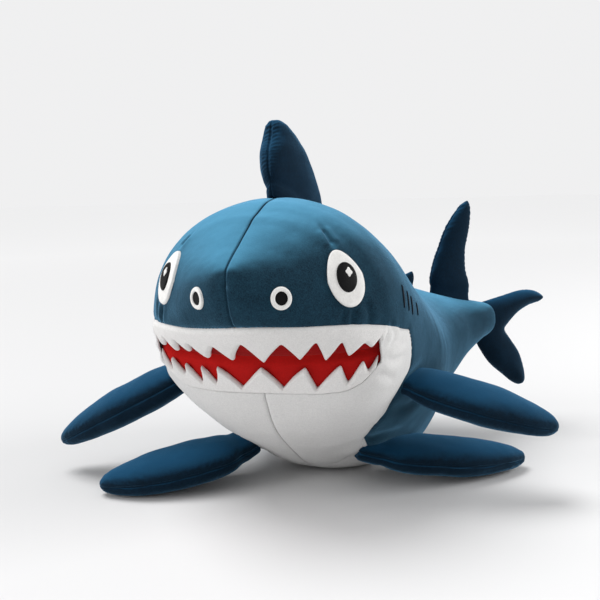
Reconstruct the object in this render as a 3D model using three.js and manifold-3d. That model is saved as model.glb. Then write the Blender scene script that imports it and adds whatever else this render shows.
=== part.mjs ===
import * as THREE from 'three';
import { mergeVertices } from 'three/addons/utils/BufferGeometryUtils.js';
import Module from 'manifold-3d';

// Plush shark, millimetres. +Z up, nose towards -Y, the shark's left side towards +X.
// The floor is z = 0. The rear of the body and the tail curve towards +X.

// driving dimensions
const SKIN = 2.5;           // pile fabric thickness
const GAP = 1.6;            // skin to stuffing, along the ring plane
const LINING_IN = 3.4;      // how far the mouth lining sits below the outer surface
const LINING_T = 2.0;       // mouth lining thickness
const FIN_SKIN = 1.7;       // fin fabric thickness
const SEAM = 0.35;          // gap left at each sewn seam
const BODY_END = 262;       // spine length at the tail hinge
const STEM_END = 334;       // spine length at the caudal fin hinge
const TAIL_RELIEF = 17;     // degrees, wedge cut at the front of the tail
const BEND_FROM = 10, BEND_TO = 310, BEND_DEG = 50;
const EYE_T = 2.2, PUPIL_T = 1.6, GLINT_T = 1.0;

// body stations: spine length, top z, widest z, bottom z, half width, top and bottom exponents
const ST = [
  [-134, 230, 222, 216, 4, 2, 2], [-132, 236, 220, 206, 13, 2, 2], [-126, 242, 215, 192, 26, 2, 2],
  [-117, 248, 208, 181, 41, 2, 2], [-105, 255, 200, 168, 58, 2.05, 2.1], [-92, 263, 192, 156, 74, 2.1, 2.2],
  [-78, 271, 184, 145, 90, 2.15, 2.3], [-66, 278, 179, 130, 102, 2.2, 2.4], [-56, 282, 176, 107, 110, 2.2, 2.35],
  [-46, 286, 174, 87, 117, 2.2, 2.3], [-32, 290, 171, 70, 122, 2.15, 2.2], [-12, 292, 167, 54, 126, 2.1, 2.1],
  [15, 288, 161, 35, 128, 2, 2.1], [45, 274, 152, 16, 129, 1.95, 2.1], [80, 254, 143, 1, 130, 1.9, 2.1],
  [120, 233, 134, -7, 129, 1.85, 2.1], [160, 213, 127, -7, 123, 1.85, 2.1], [200, 194, 124, 9, 109, 1.85, 2.1],
  [240, 179, 123, 34, 86, 1.95, 2], [280, 166, 124, 66, 61, 2, 2], [305, 159, 127, 88, 44, 2, 2],
  [334, 154, 130, 106, 30, 2, 2], [375, 153, 131, 110, 24, 2, 2]];

// spine in plan: straight through the head, then turning towards +X
const SPN = [];
{
  const ds = 2; let x = 0, y = -140, last = null;
  for (let s = -140; s <= 420; s += ds) {
    const t = Math.min(1, Math.max(0, (s - BEND_FROM) / (BEND_TO - BEND_FROM)));
    const a = BEND_DEG * Math.PI / 180 * t * t * (3 - 2 * t);
    if (last) { x += (Math.sin(a) + Math.sin(last)) / 2 * ds; y += (Math.cos(a) + Math.cos(last)) / 2 * ds; }
    else last = 0;
    SPN.push([s, x, y, a]); last = a || 1e-12;
  }
}
function spine(s) {
  const i = Math.min(SPN.length - 2, Math.max(0, Math.floor((s + 140) / 2))), a = SPN[i], b = SPN[i + 1], t = (s - a[0]) / 2;
  return [1, 2, 3].map(k => a[k] + (b[k] - a[k]) * t);
}
// monotone cubic through a table
function tableAt(T, s) {
  const n = T.length; if (s <= T[0][0]) return T[0].slice(1); if (s >= T[n - 1][0]) return T[n - 1].slice(1);
  let i = 0; while (T[i + 1][0] < s) i++;
  const h = T[i + 1][0] - T[i][0], t = (s - T[i][0]) / h, out = [];
  const slope = (j, k) => {
    const d = q => (T[q + 1][k] - T[q][k]) / (T[q + 1][0] - T[q][0]);
    if (j === 0) return d(0); if (j === n - 1) return d(n - 2);
    const a = d(j - 1), b = d(j); if (a * b <= 0) return 0;
    const w1 = 2 * (T[j + 1][0] - T[j][0]) + (T[j][0] - T[j - 1][0]), w2 = (T[j + 1][0] - T[j][0]) + 2 * (T[j][0] - T[j - 1][0]);
    return (w1 + w2) / (w1 / a + w2 / b);
  };
  for (let k = 1; k < T[0].length; k++) {
    const a = T[i][k], b = T[i + 1][k], ma = slope(i, k) * h, mb = slope(i + 1, k) * h;
    out.push((2 * t ** 3 - 3 * t * t + 1) * a + (t ** 3 - 2 * t * t + t) * ma + (3 * t * t - 2 * t ** 3) * b + (t ** 3 - t * t) * mb);
  }
  return out;
}
// local body frame: s along the spine, x across, z up
function place(s, x, z) { const [X, Y, a] = spine(s); return [X + x * Math.cos(a), Y - x * Math.sin(a), z]; }
function ring(s, off, n) {
  const [zt, zm, zb, w, nt, nb] = tableAt(ST, s), out = [];
  for (let i = 0; i < n; i++) {
    const a = 2 * Math.PI * i / n, c = Math.cos(a), d = Math.sin(a), e = d >= 0 ? nt : nb;
    const W = Math.max(1, w - off), T = Math.max(1, zt - off - zm), B = Math.max(1, zm - zb - off);
    const x = W * Math.sign(c) * Math.abs(c) ** (2 / e);
    let z = d >= 0 ? zm + T * Math.abs(d) ** (2 / e) : zm - B * Math.abs(d) ** (2 / e);
    z = Math.max(z, off);
    out.push(place(s, x, z));
  }
  return out;
}

const wasm = await Module(); wasm.setup();
const { Manifold } = wasm;
function solid(verts, tris) {
  let v = 0;
  for (const [a, b, c] of tris) {
    const A = verts[a], B = verts[b], C = verts[c];
    v += A[0] * (B[1] * C[2] - B[2] * C[1]) - A[1] * (B[0] * C[2] - B[2] * C[0]) + A[2] * (B[0] * C[1] - B[1] * C[0]);
  }
  const T = v < 0 ? tris.map(t => [t[0], t[2], t[1]]) : tris;
  return new Manifold(new wasm.Mesh({ numProp: 3, vertProperties: new Float32Array(verts.flat()), triVerts: new Uint32Array(T.flat()) }));
}
// closed loft through rings of equal count, with fan caps
function loft(rings) {
  const n = rings[0].length, V = rings.flat(), T = [], S = rings.length;
  for (let i = 0; i < S - 1; i++) for (let j = 0; j < n; j++) {
    const k = (j + 1) % n, a = i * n + j, b = i * n + k, c = (i + 1) * n + k, d = (i + 1) * n + j;
    T.push([a, b, c], [a, c, d]);
  }
  const mid = r => [0, 1, 2].map(k => r.reduce((q, p) => q + p[k], 0) / n);
  const c0 = V.push(mid(rings[0])) - 1, c1 = V.push(mid(rings[S - 1])) - 1;
  for (let j = 0; j < n; j++) { const k = (j + 1) % n; T.push([c0, k, j], [c1, (S - 1) * n + j, (S - 1) * n + k]); }
  return solid(V, T);
}
// thick patch between two grids of the same shape
function patch(outer, inner) {
  const S = outer.length, M = outer[0].length, V = outer.flat().concat(inner.flat()), T = [], N = S * M;
  const q = (a, b, c, d) => T.push([a, b, c], [a, c, d]);
  for (let i = 0; i < S - 1; i++) for (let j = 0; j < M - 1; j++) {
    const a = i * M + j, b = a + 1, c = a + M + 1, d = a + M;
    q(a, b, c, d); q(N + a, N + d, N + c, N + b);
  }
  for (let i = 0; i < S - 1; i++) {
    const a = i * M, d = a + M; q(a, d, N + d, N + a);
    const b = i * M + M - 1, c = b + M; q(b, N + b, N + c, c);
  }
  for (let j = 0; j < M - 1; j++) {
    q(j, N + j, N + j + 1, j + 1);
    const a = (S - 1) * M + j; q(a, a + 1, N + a + 1, N + a);
  }
  return solid(V, T);
}
// a three.js geometry as a solid
function fromGeometry(g) {
  g.deleteAttribute('normal'); g.deleteAttribute('uv');
  const m = mergeVertices(g, 1e-4), p = m.attributes.position, V = [], T = [];
  for (let i = 0; i < p.count; i++) V.push([p.getX(i), p.getY(i), p.getZ(i)]);
  for (let i = 0; i < m.index.count; i += 3) T.push([m.index.getX(i), m.index.getX(i + 1), m.index.getX(i + 2)]);
  return solid(V, T);
}
const shapeOf = poly => new THREE.Shape(poly.map(([a, b]) => new THREE.Vector2(a, b)));
// prism from a plan polygon between two heights
function prismZ(poly, z0, z1) {
  return fromGeometry(new THREE.ExtrudeGeometry(shapeOf(poly), { depth: z1 - z0, bevelEnabled: false }).translate(0, 0, z0));
}
// prism from a side outline (y, z), spanning x0..x1
function prismX(poly, x0, x1) {
  const m = new THREE.Matrix4().set(0, 0, 1, x0, 1, 0, 0, 0, 0, 1, 0, 0, 0, 0, 0, 1);
  return fromGeometry(new THREE.ExtrudeGeometry(shapeOf(poly), { depth: x1 - x0, bevelEnabled: false }).applyMatrix4(m));
}
// region under (or over) a level that changes with the bearing around the head, nose = 0 degrees
function fan(levels, top, r0 = 42, rm = 92, r1 = 190) {
  const V = [], T = [], n = levels.length, P = (r, deg, z) => { const a = deg * Math.PI / 180; return V.push([r * Math.sin(a), -r * Math.cos(a), z]) - 1; };
  const k = levels.map(([d, z]) => [P(r0, d, z), P(rm, d, z), P(r1, d, z), P(r0, d, top), P(r1, d, top)]);
  const q = (a, b, c, d) => T.push([a, b, c], [a, c, d]);
  for (let i = 0; i < n - 1; i++) {
    const [a0, am, a1, at0, at1] = k[i], [b0, bm, b1, bt0, bt1] = k[i + 1];
    const m = P((r0 + rm) / 2, (levels[i][0] + levels[i + 1][0]) / 2, (levels[i][1] + levels[i + 1][1]) / 2);
    const o = P((rm + r1) / 2 * 0.88, (levels[i][0] + levels[i + 1][0]) / 2, (levels[i][1] + levels[i + 1][1]) / 2);
    T.push([a0, am, m], [am, bm, m], [bm, b0, m], [b0, a0, m], [am, a1, o], [a1, b1, o], [b1, bm, o], [bm, am, o]);
    q(at0, bt0, bt1, at1); q(a0, b0, bt0, at0); q(a1, at1, bt1, b1);
  }
  const e = ([a0, am, a1, t0, t1], f) => { const L = [[a0, t0, t1], [a0, t1, a1], [a0, a1, am]]; L.forEach(t => T.push(f ? t : [t[0], t[2], t[1]])); };
  e(k[0], true); e(k[n - 1], false);
  return solid(V, T);
}

// puts the origin on the floor under the middle of the whole
const SHIFT = [5.22, -106.06, 0];

const group = new THREE.Group();
group.name = 'plush_shark';
const COL = { blue: [0x2a6384, 0.92], white: [0xcfcdca, 0.95], red: [0x8a1714, 0.9], felt: [0xdedede, 0.9], black: [0x141416, 0.6], thread: [0x10202c, 0.8], fill: [0xe8e4da, 1.0] };
function add(name, m, col) {
  const g0 = m.getMesh(), np = g0.numProp, nv = g0.vertProperties.length / np, tri = g0.triVerts;
  const at0 = i => [0, 1, 2].map(k => g0.vertProperties[i * np + k]);
  // leave out slivers that seam cuts shave off: keep the bodies near the size of the largest
  const up = Array.from({ length: nv }, (_, i) => i), find = i => { while (up[i] !== i) { up[i] = up[up[i]]; i = up[i]; } return i; };
  for (let t = 0; t < tri.length; t += 3) { up[find(tri[t])] = find(tri[t + 1]); up[find(tri[t + 1])] = find(tri[t + 2]); }
  const vol = new Map();
  for (let t = 0; t < tri.length; t += 3) {
    const [A, B, C] = [at0(tri[t]), at0(tri[t + 1]), at0(tri[t + 2])], r = find(tri[t]);
    const v = A[0] * (B[1] * C[2] - B[2] * C[1]) - A[1] * (B[0] * C[2] - B[2] * C[0]) + A[2] * (B[0] * C[1] - B[1] * C[0]);
    vol.set(r, (vol.get(r) || 0) + v / 6);
  }
  const big = Math.max(...vol.values()), ids = new Map(), P = [], I = [];
  for (let t = 0; t < tri.length; t += 3) {
    if (vol.get(find(tri[t])) < 0.08 * big) continue;
    for (let k = 0; k < 3; k++) {
      const v = tri[t + k];
      if (!ids.has(v)) { ids.set(v, P.length / 3); at0(v).forEach((c, q) => P.push(c + SHIFT[q])); }
      I.push(ids.get(v));
    }
  }
  const g = new THREE.BufferGeometry();
  g.setAttribute('position', new THREE.Float32BufferAttribute(P, 3));
  g.setIndex(I);
  g.computeVertexNormals();
  const [c, r] = COL[col], mesh = new THREE.Mesh(g, new THREE.MeshStandardMaterial({ color: c, roughness: r, metalness: 0 }));
  mesh.name = name; group.add(mesh);
}

// ---- head and body -------------------------------------------------------
const RN = 24;
const bodyS = [-134, -130, -119, -104, -88, -72, -60, -47, -30, -6, 28, 70, 115, 160, 200, 234, BODY_END - 1.5];
const tailS = [BODY_END + 1.5, 284, 305, 320, STEM_END - 8];
const bodyLoft = (off, rn = RN) => loft(bodyS.map(s => ring(Math.max(s, bodyS[0] + off), off, rn)).filter((_, i) => i === 0 || bodyS[i] > bodyS[0] + off + 0.4));
const outer = bodyLoft(0), under = bodyLoft(SKIN);
const core = loft([...bodyS.filter(s => s !== -130 && s !== -6).map(s => ring(Math.max(s, bodyS[0] + SKIN + GAP), SKIN + GAP, 12))]);

// plan regions either side of the spine seam
const orient = poly => { let a = 0; poly.forEach((p, i) => { const q = poly[(i + 1) % poly.length]; a += p[0] * q[1] - q[0] * p[1]; }); return a > 0 ? poly : poly.slice().reverse(); };
const sideRegion = (sign, g) => {
  const line = SPN.filter((_, i) => i % 5 === 0).map(([s]) => place(s, sign * g, 0).slice(0, 2));
  line.unshift([sign * g, -300]);
  const far = sign > 0 ? [[700, 500], [700, -300]] : [[-300, 500], [-300, -300]];
  return prismZ(orient(line.concat(far)), -20, 420);
};
const LEFT = sideRegion(1, SEAM / 2), RIGHT = sideRegion(-1, SEAM / 2);

// white front: under the lip border, ahead of the cheek border
const LIP = [[-100, 166], [-90, 171], [-80, 176], [-62, 180.5], [-47, 181], [-33, 181], [-18, 182.8], [0, 185], [11, 186], [27, 185.3], [36, 185], [49, 184.4], [60, 182], [72, 177], [80, 172], [90, 168], [100, 165]];
const CHEEK = [[-20, 190], [-22, 178], [-11, 169], [1, 145], [3, 132], [0, 105], [3, 77], [24, 47], [42, 30], [52, 10], [56, -20]];
const ahead = (g) => prismX(orient([[-300, 420], [-20 + g, 420], ...CHEEK.map(([y, z]) => [y + g, z]), [-300, -20]]), -300, 300);
const CHIN = fromGeometry(new THREE.BoxGeometry(600, 500, 160).translate(0, -50, 20));
const underLipFan = fan(LIP.map(([a, z]) => [a, z - SEAM / 2]), -60).add(CHIN);
const shell = outer.subtract(under);
const whiteRegion = underLipFan.intersect(ahead(-SEAM / 2));
const keepOutOfBlue = fan(LIP.map(([a, z]) => [a, z + SEAM / 2]), -60).add(CHIN).intersect(ahead(SEAM / 2));

// belly panel: a strip under the body behind the chin
const BELLY = [[5, 74], [40, 70], [75, 68], [115, 64], [155, 56], [195, 40], [228, 22], [250, 8]];
const bellyPoly = g => orient(BELLY.map(([s, w]) => place(s, w + g, 0).slice(0, 2)).concat(BELLY.slice().reverse().map(([s, w]) => place(s, -w - g, 0).slice(0, 2))));
const bellyIn = prismZ(bellyPoly(-SEAM / 2), -20, 90), bellyOut = prismZ(bellyPoly(SEAM / 2), -20, 90);
const blueShell = shell.subtract(keepOutOfBlue).subtract(bellyOut);
add('body_skin_left', blueShell.intersect(LEFT), 'blue');
add('body_skin_right', blueShell.intersect(RIGHT), 'blue');
add('belly_panel', shell.intersect(bellyIn).subtract(keepOutOfBlue), 'white');

// teeth lines, bearing and height, notches and tips
const UP = [[-65, 173], [-59.5, 165], [-56, 157], [-51.5, 168], [-47.5, 153], [-42.5, 168], [-38, 155], [-33, 166], [-28.5, 150], [-17, 166], [-12, 149.5], [0, 170], [7.5, 148], [19, 170], [28.5, 151.5], [34.5, 171], [41.2, 150], [46, 170], [50.5, 154], [56, 167], [59.5, 161], [65, 173]];
const LOW = [[-65, 160], [-60, 131], [-56.5, 147], [-53.5, 129], [-50, 142], [-46.5, 121.5], [-41.5, 140], [-37.5, 122.5], [-31, 139.5], [-18.9, 120], [2.5, 140.6], [17.8, 121], [32, 142], [40.7, 121], [48.8, 145], [54.2, 127], [57.3, 149.5], [60.8, 138], [65, 160]];
const LSEAM = [[-64, 140], [-61, 126], [-57, 117], [-41, 114.5], [-18, 114.7], [0, 115.5], [17, 116], [41, 116.5], [54, 119.5], [60, 128], [62, 136], [64, 148]];
const off = (L, d) => L.map(([a, z]) => [a, z + d]);
const MOUTH = 65;
const mouthFan = fan(off(UP, 0), -60).intersect(fan(off(LOW, 0), 420));
const mouthOpen = fan(off(UP, SEAM / 2), -60).intersect(fan(off(LOW, -SEAM / 2), 420));
const whiteShell = shell.intersect(whiteRegion);
const upperSide = fan([[-MOUTH, 173], ...UP.slice(1, -1), [MOUTH, 173]].map(([a, z]) => [a, z + SEAM / 2]), 420);
const lipBand = whiteShell.intersect(upperSide).subtract(mouthOpen);
add('upper_lip_teeth', lipBand, 'white');
const lipOut = fan([[-MOUTH - 0.25, 173], ...UP.slice(1, -1), [MOUTH + 0.25, 173]].map(([a, z]) => [a, z - 0.1]), 420);
const lowStrip = fan(off([[-64, 160], ...LOW.slice(1, -1), [64, 160]], -SEAM / 2), -60).intersect(fan(off(LSEAM, SEAM / 2), 420));
const lowStripOut = fan(off([[-64.3, 165], ...LOW.slice(1, -1), [64.3, 165]], SEAM), -60).intersect(fan(off(LSEAM, -SEAM / 2), 420));
add('lower_teeth_strip', whiteShell.intersect(lowStrip).subtract(mouthOpen).subtract(lipOut), 'felt');
const jaw = whiteShell.subtract(lipOut).subtract(mouthOpen).subtract(lowStripOut);
add('jaw_skin_left', jaw.intersect(LEFT), 'white');
add('jaw_skin_right', jaw.intersect(RIGHT), 'white');
// mouth lining: two red panels below the outer surface, folded where they meet
const LIN_TOP = bodyLoft(LINING_IN), LIN_BOT = bodyLoft(LINING_IN + LINING_T), LIN_BED = bodyLoft(LINING_IN + LINING_T + 0.6);
const FOLD = [[-66, 158], [-50, 146], [-30, 143], [0, 143], [30, 145], [50, 149], [66, 158]];
const liningAll = LIN_TOP.subtract(LIN_BOT).intersect(mouthFan);
add('mouth_lining_upper', liningAll.intersect(fan(off(FOLD, SEAM / 2), 420)), 'red');
add('mouth_lining_lower', liningAll.intersect(fan(off(FOLD, -SEAM / 2), -60)), 'red');
const fill = core.subtract(mouthOpen.intersect(outer).subtract(LIN_BED));
add('body_stuffing', fill, 'fill');

// ---- discs and ovals on the skin ----------------------------------------
// nearest outward point of the skin on a ray from the head axis
const zAxisHit = (deg, z) => {
  const a = deg * Math.PI / 180, dir = [Math.sin(a), -Math.cos(a)];
  let lo = 10, hi = 240;
  const inside = r => {
    const s = r * dir[1], x = r * dir[0]; if (s < -133.9) return false;
    const [zt, zm, zb, w, nt, nb] = tableAt(ST, s), e = z >= zm ? nt : nb, h = z >= zm ? zt - zm : zm - zb;
    return Math.abs(x / w) ** e + Math.abs((z - zm) / h) ** e < 1;
  };
  for (let i = 0; i < 40; i++) { const m = (lo + hi) / 2; inside(m) ? lo = m : hi = m; }
  return [lo * dir[0], lo * dir[1], z];
};
const sub3 = (a, b) => a.map((v, i) => v - b[i]), cross3 = (a, b) => [a[1] * b[2] - a[2] * b[1], a[2] * b[0] - a[0] * b[2], a[0] * b[1] - a[1] * b[0]];
const unit = a => { const l = Math.hypot(...a); return a.map(v => v / l); };
function skinFrame(deg, z) {
  const p = zAxisHit(deg, z), u = unit(sub3(zAxisHit(deg + 3, z), zAxisHit(deg - 3, z))), v = unit(sub3(zAxisHit(deg, z + 4), zAxisHit(deg, z - 4)));
  const n = unit(cross3(u, v)); return { p, u, v: unit(cross3(n, u)), n };
}
// an applique: outline in (u, v), laid over the skin between two heights above it
function applique(fr, pts, lo, hi, rings = 2) {
  const c = [0, 0]; pts.forEach(p => { c[0] += p[0] / pts.length; c[1] += p[1] / pts.length; });
  const lift = (p, h) => {
    // drop onto the faceted skin along the frame normal
    const P = k => [0, 1, 2].map(i => fr.p[i] + fr.u[i] * p[0] + fr.v[i] * p[1] + fr.n[i] * k);
    let a = -40, b = 40;
    const ins = k => { const q = P(k); return insideSkin(q); };
    for (let i = 0; i < 40; i++) { const m = (a + b) / 2; ins(m) ? a = m : b = m; }
    return P(a + h);
  };
  const grid = h => { const G = []; for (let r = 0; r <= rings; r++) G.push(pts.map(p => lift([c[0] + (p[0] - c[0]) * r / rings, c[1] + (p[1] - c[1]) * r / rings], h))); return G; };
  const top = grid(hi), bot = grid(lo), n = pts.length, V = [], T = [];
  const push = G => { const i0 = V.length; V.push(G[0][0]); for (let r = 1; r <= rings; r++) V.push(...G[r]); return i0; };
  const a0 = push(top), b0 = push(bot), id = (o, r, j) => r === 0 ? o : o + 1 + (r - 1) * n + (j % n);
  for (let j = 0; j < n; j++) {
    T.push([a0, id(a0, 1, j), id(a0, 1, j + 1)], [b0, id(b0, 1, j + 1), id(b0, 1, j)]);
    for (let r = 1; r < rings; r++) {
      T.push([id(a0, r, j), id(a0, r + 1, j), id(a0, r + 1, j + 1)], [id(a0, r, j), id(a0, r + 1, j + 1), id(a0, r, j + 1)]);
      T.push([id(b0, r, j), id(b0, r + 1, j + 1), id(b0, r + 1, j)], [id(b0, r, j), id(b0, r, j + 1), id(b0, r + 1, j + 1)]);
    }
    T.push([id(a0, rings, j), id(b0, rings, j), id(b0, rings, j + 1)], [id(a0, rings, j), id(b0, rings, j + 1), id(a0, rings, j + 1)]);
  }
  return solid(V, T);
}
// inside test on the smooth body surface, in front of the bend
function insideSkin([x, y, z]) {
  // undo the slight bend near the shoulders
  let s = y, xl = x;
  for (let k = 0; k < 4; k++) { const [X, Y, a] = spine(s); xl = (x - X) * Math.cos(a) - (y - Y) * Math.sin(a); s += (x - X) * Math.sin(a) + (y - Y) * Math.cos(a); }
  if (s < -133.9) return false;
  const [zt, zm, zb, w, nt, nb] = tableAt(ST, s), e = z >= zm ? nt : nb, h = z >= zm ? zt - zm : zm - zb;
  return Math.abs(xl / w) ** e + Math.abs((z - zm) / h) ** e < 1;
}
const oval = (a, b, n, tilt = 0, point = 0) => Array.from({ length: n }, (_, i) => {
  const t = 2 * Math.PI * i / n, x = a * Math.cos(t) * (1 - point * Math.max(0, Math.sin(t))), y = b * Math.sin(t);
  return [x * Math.cos(tilt) - y * Math.sin(tilt), x * Math.sin(tilt) + y * Math.cos(tilt)];
});
for (const [name, sg] of [['left', 1], ['right', -1]]) {
  const eye = skinFrame(sg > 0 ? 49 : -46.5, 224.5), T = -sg * 0.18;
  add(`eye_white_${name}`, applique(eye, oval(19, 28, 16, -T, 0.35), 0.6, 0.6 + EYE_T, 2), 'felt');
  add(`eye_pupil_${name}`, applique(eye, oval(10.5, 15, 12), EYE_T + 1.1, EYE_T + 1.1 + PUPIL_T, 2), 'black');
  add(`eye_glint_${name}`, applique(eye, oval(3, 4, 8).map(([x, y]) => [x + 2, y + 4]), EYE_T + PUPIL_T + 1.7, EYE_T + PUPIL_T + 1.7 + GLINT_T, 1), 'felt');
  const nos = skinFrame(sg > 0 ? 20 : -14.5, 212);
  const ringOuter = applique(nos, oval(10.5, 11, 12), 0.7, 2.9, 1), ringHole = applique(nos, oval(6.9, 7.2, 12), -6, 9, 1);
  add(`nostril_ring_${name}`, ringOuter.subtract(ringHole), 'felt');
  add(`nostril_centre_${name}`, applique(nos, oval(6.3, 6.6, 12), 0.8, 2.0, 1), 'black');
  // gill slits, embroidered bars behind the cheek
  const G = [[82, 201, 11], [86.5, 195.5, 9.5], [91, 190, 9], [98.5, 184, 6.5]];
  G.forEach(([deg, z, h], i) => {
    const fr = skinFrame(sg * deg, z);
    add(`gill_slit_${name}_${i + 1}`, applique(fr, oval(1.5, h, 8, sg * 0.28), 0.5, 1.5, 1), 'thread');
  });
}

// ---- tail stem -----------------------------------------------------------
const relief = (() => {
  // wedge with its apex on the hinge line, opening backwards at the relief angle
  const k = Math.tan(TAIL_RELIEF * Math.PI / 180), far = 140;
  const P = [[0, BODY_END + 1.5], [far, BODY_END + 1.5 + far * k], [far, 520], [-far, 520], [-far, BODY_END + 1.5 + far * k]];
  const [X, Y, a] = spine(BODY_END);
  return prismZ(orient(P.map(([x, s]) => { const d = s - BODY_END; return [X + x * Math.cos(a) + d * Math.sin(a), Y - x * Math.sin(a) + d * Math.cos(a)]; })), -20, 420);
})();
const capRelief = (() => {
  // the rear end of the stem, cut to a blunt wedge so the caudal fin can swing
  const [X, Y, a] = spine(STEM_END), k = Math.tan(32 * Math.PI / 180), far = 60;
  const P = [[-far, -200], [far, -200], [far, -8 - far * k], [0, -8], [-far, -8 - far * k]];
  return prismZ(orient(P.map(([x, d]) => [X + x * Math.cos(a) + d * Math.sin(a), Y - x * Math.sin(a) + d * Math.cos(a)])), -20, 420);
})();
const tailLoft = o => loft(tailS.map(s => ring(s, o, 20)));
const tOuter = tailLoft(0), tUnder = tailLoft(SKIN), tCore = tailLoft(SKIN + GAP);
const trim = m => m.intersect(relief).intersect(capRelief);
const tShell = tOuter.subtract(tUnder);
add('tail_skin_left', trim(tShell.intersect(LEFT)), 'blue');
add('tail_skin_right', trim(tShell.intersect(RIGHT)), 'blue');
add('tail_stuffing', trim(tCore), 'fill');

// ---- fins ----------------------------------------------------------------
// a fin is a row of lens sections from the root outwards: [u, v centre, half chord, half thickness, w centre]
function finRow(rows, us) { return us.map(u => [u, ...tableAt(rows, u)]); }
function frame3(o, u, w) { const U = unit(u), V = unit(cross3(w, U)), W = cross3(U, V); return { o, U, V, W }; }
const at = (f, u, v, w) => [0, 1, 2].map(i => f.o[i] + f.U[i] * u + f.V[i] * v + f.W[i] * w);
function section(f, [u, v0, c, h, w0], lo, hi, m, dc, dh, lift, floor) {
  const out = [], k = f.slope || 0, L = f.length || 1, fade = Math.max(0, 1 - u / L);
  for (let i = 0; i <= m; i++) {
    const a = lo + (hi - lo) * i / m, C = Math.max(0.35, c - dc), H = Math.max(0.3, h - dh);
    const v = v0 + C * Math.cos(a), p = at(f, u + k * v * fade, v, w0 + lift + H * Math.sign(Math.sin(a)) * Math.abs(Math.sin(a)) ** 0.88);
    if (floor !== null) p[2] = Math.max(p[2], floor);
    out.push(p);
  }
  return out;
}
// the room a fin must leave for the body: the body's outside turned about the fin's hinge, at each end of its swing
function bodySweep(o, axis, angles, off) {
  const k = unit(axis);
  const turn = (p, a) => {
    const q = sub3(p, o), c = Math.cos(a), s = Math.sin(a), x = cross3(k, q), d = k[0] * q[0] + k[1] * q[1] + k[2] * q[2];
    return [0, 1, 2].map(i => o[i] + q[i] * c + x[i] * s + k[i] * d * (1 - c));
  };
  return angles.map(a => loft(bodyS.map(s => ring(s, off, RN).map(p => turn(p, -a * Math.PI / 180))))).reduce((a, b) => a.add(b));
}
function fin(name, f, rows, us, floor = null, m = 5, tags = ['top', 'bottom'], room = null) {
  const R = finRow(rows, us), tip = us.at(-1), Rin = finRow(rows, us.map((u, i) => i === us.length - 1 ? tip - 3 : u));
  const cut = (x, far = 0) => room ? x.subtract(room) : x;
  for (const [tag, lo, hi, s] of [[tags[0], 0.02, Math.PI - 0.02, 1], [tags[1], Math.PI + 0.02, 2 * Math.PI - 0.02, -1]]) {
    const fl = floor === null ? null : floor;
    const o = R.map(r => section(f, r, lo, hi, m, 0, 0, s * SEAM / 2, fl));
    const n = Rin.map(r => section(f, r, lo, hi, m, FIN_SKIN * 1.3, FIN_SKIN, s * SEAM / 2, fl === null ? null : fl + FIN_SKIN));
    add(`${name}_${tag}_panel`, cut(patch(o, n)), 'blue');
  }
  const Rc = finRow(rows, us.map((u, i) => i === us.length - 1 ? tip - 12 : i === 0 ? u + 0.8 : u));
  add(`${name}_stuffing`, cut(loft(Rc.map(r => section(f, r, 0, 2 * Math.PI * (1 - 1 / (2 * m)), 2 * m - 1, FIN_SKIN * 1.3 + 1.2, FIN_SKIN + 0.8, 0, floor === null ? null : floor + FIN_SKIN + 1.1)))), 'fill');
}
const D2R = Math.PI / 180;
// dorsal fin: upright, leaning a little to the shark's right, its root following the back
{
  const rows = [[0, 0, 62, 6, 0], [9.4, -1.6, 61, 13.5, 0], [26.4, -6.5, 54, 19.5, 0], [47.2, -13, 42, 20, 0], [64.2, -18.7, 27.8, 16.5, 0], [77.4, -23.6, 16.5, 11.8, 0], [85, -26.9, 10, 7.5, 0], [88.7, -28.1, 1.5, 1.5, 0]];
  const f = frame3([0, 46, 278.5], [-0.12, 0, 0.993], [-0.993, 0, -0.12]);
  f.slope = -0.44; f.length = 88.7;
  fin('dorsal_fin', f, rows, [0, 9.4, 26.4, 47.2, 66, 79, 85.3, 88.7], null, 5, ['right', 'left']);
}
const PEC = [[-30, 0, 28, 13, 0], [0, 0, 30, 18, 0], [20, 0, 35, 21, 0], [45, 2, 38, 23, 0], [80, 6, 37.5, 23, 0], [112, 12, 32, 20.5, -1], [135, 16, 25, 17, -2], [150, 19, 18, 13, -3], [159, 21, 11, 8.5, -3.5], [164, 22, 1.5, 1.5, -4]];
const LOWR = [[-34, 0, 28, 13, 0], [0, 0, 33, 17, 0], [18, 0, 37, 20, 0], [42, 2, 40, 22, 0], [78, 6, 38.5, 22, -1], [104, 10, 33, 19, -1], [124, 14, 25, 15.5, -1], [137, 17, 17, 11.5, -1], [145, 19, 9.5, 7, -1], [148, 20, 1.5, 1.5, -1]];
const scaleU = (rows, L, fat = 1) => rows.map(([u, v, c, h, w]) => [u <= 0 ? u : u * L / rows.at(-1)[0], v, c, h * fat, w]);
const FINS = {
  pectoral_fin_left: { o: [119, 31, 111], to: [257, 25, 70.5], L: 141, fat: 0.84, swing: [-15, 28] },
  pectoral_fin_right: { o: [-122, 32, 111], to: [-268, -13, 34], L: 169, fat: 0.91, swing: [-6, 32] },
  lower_fin_left: { o: [76, 52, 32], to: [223, 115, 12], L: 160, fat: 0.88, swing: [-3, 16] },
  lower_fin_right: { o: [-68, 26, 32], to: [-165, -65, 12], L: 143, fat: 0.96, swing: [-3, 16] },
};
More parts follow.
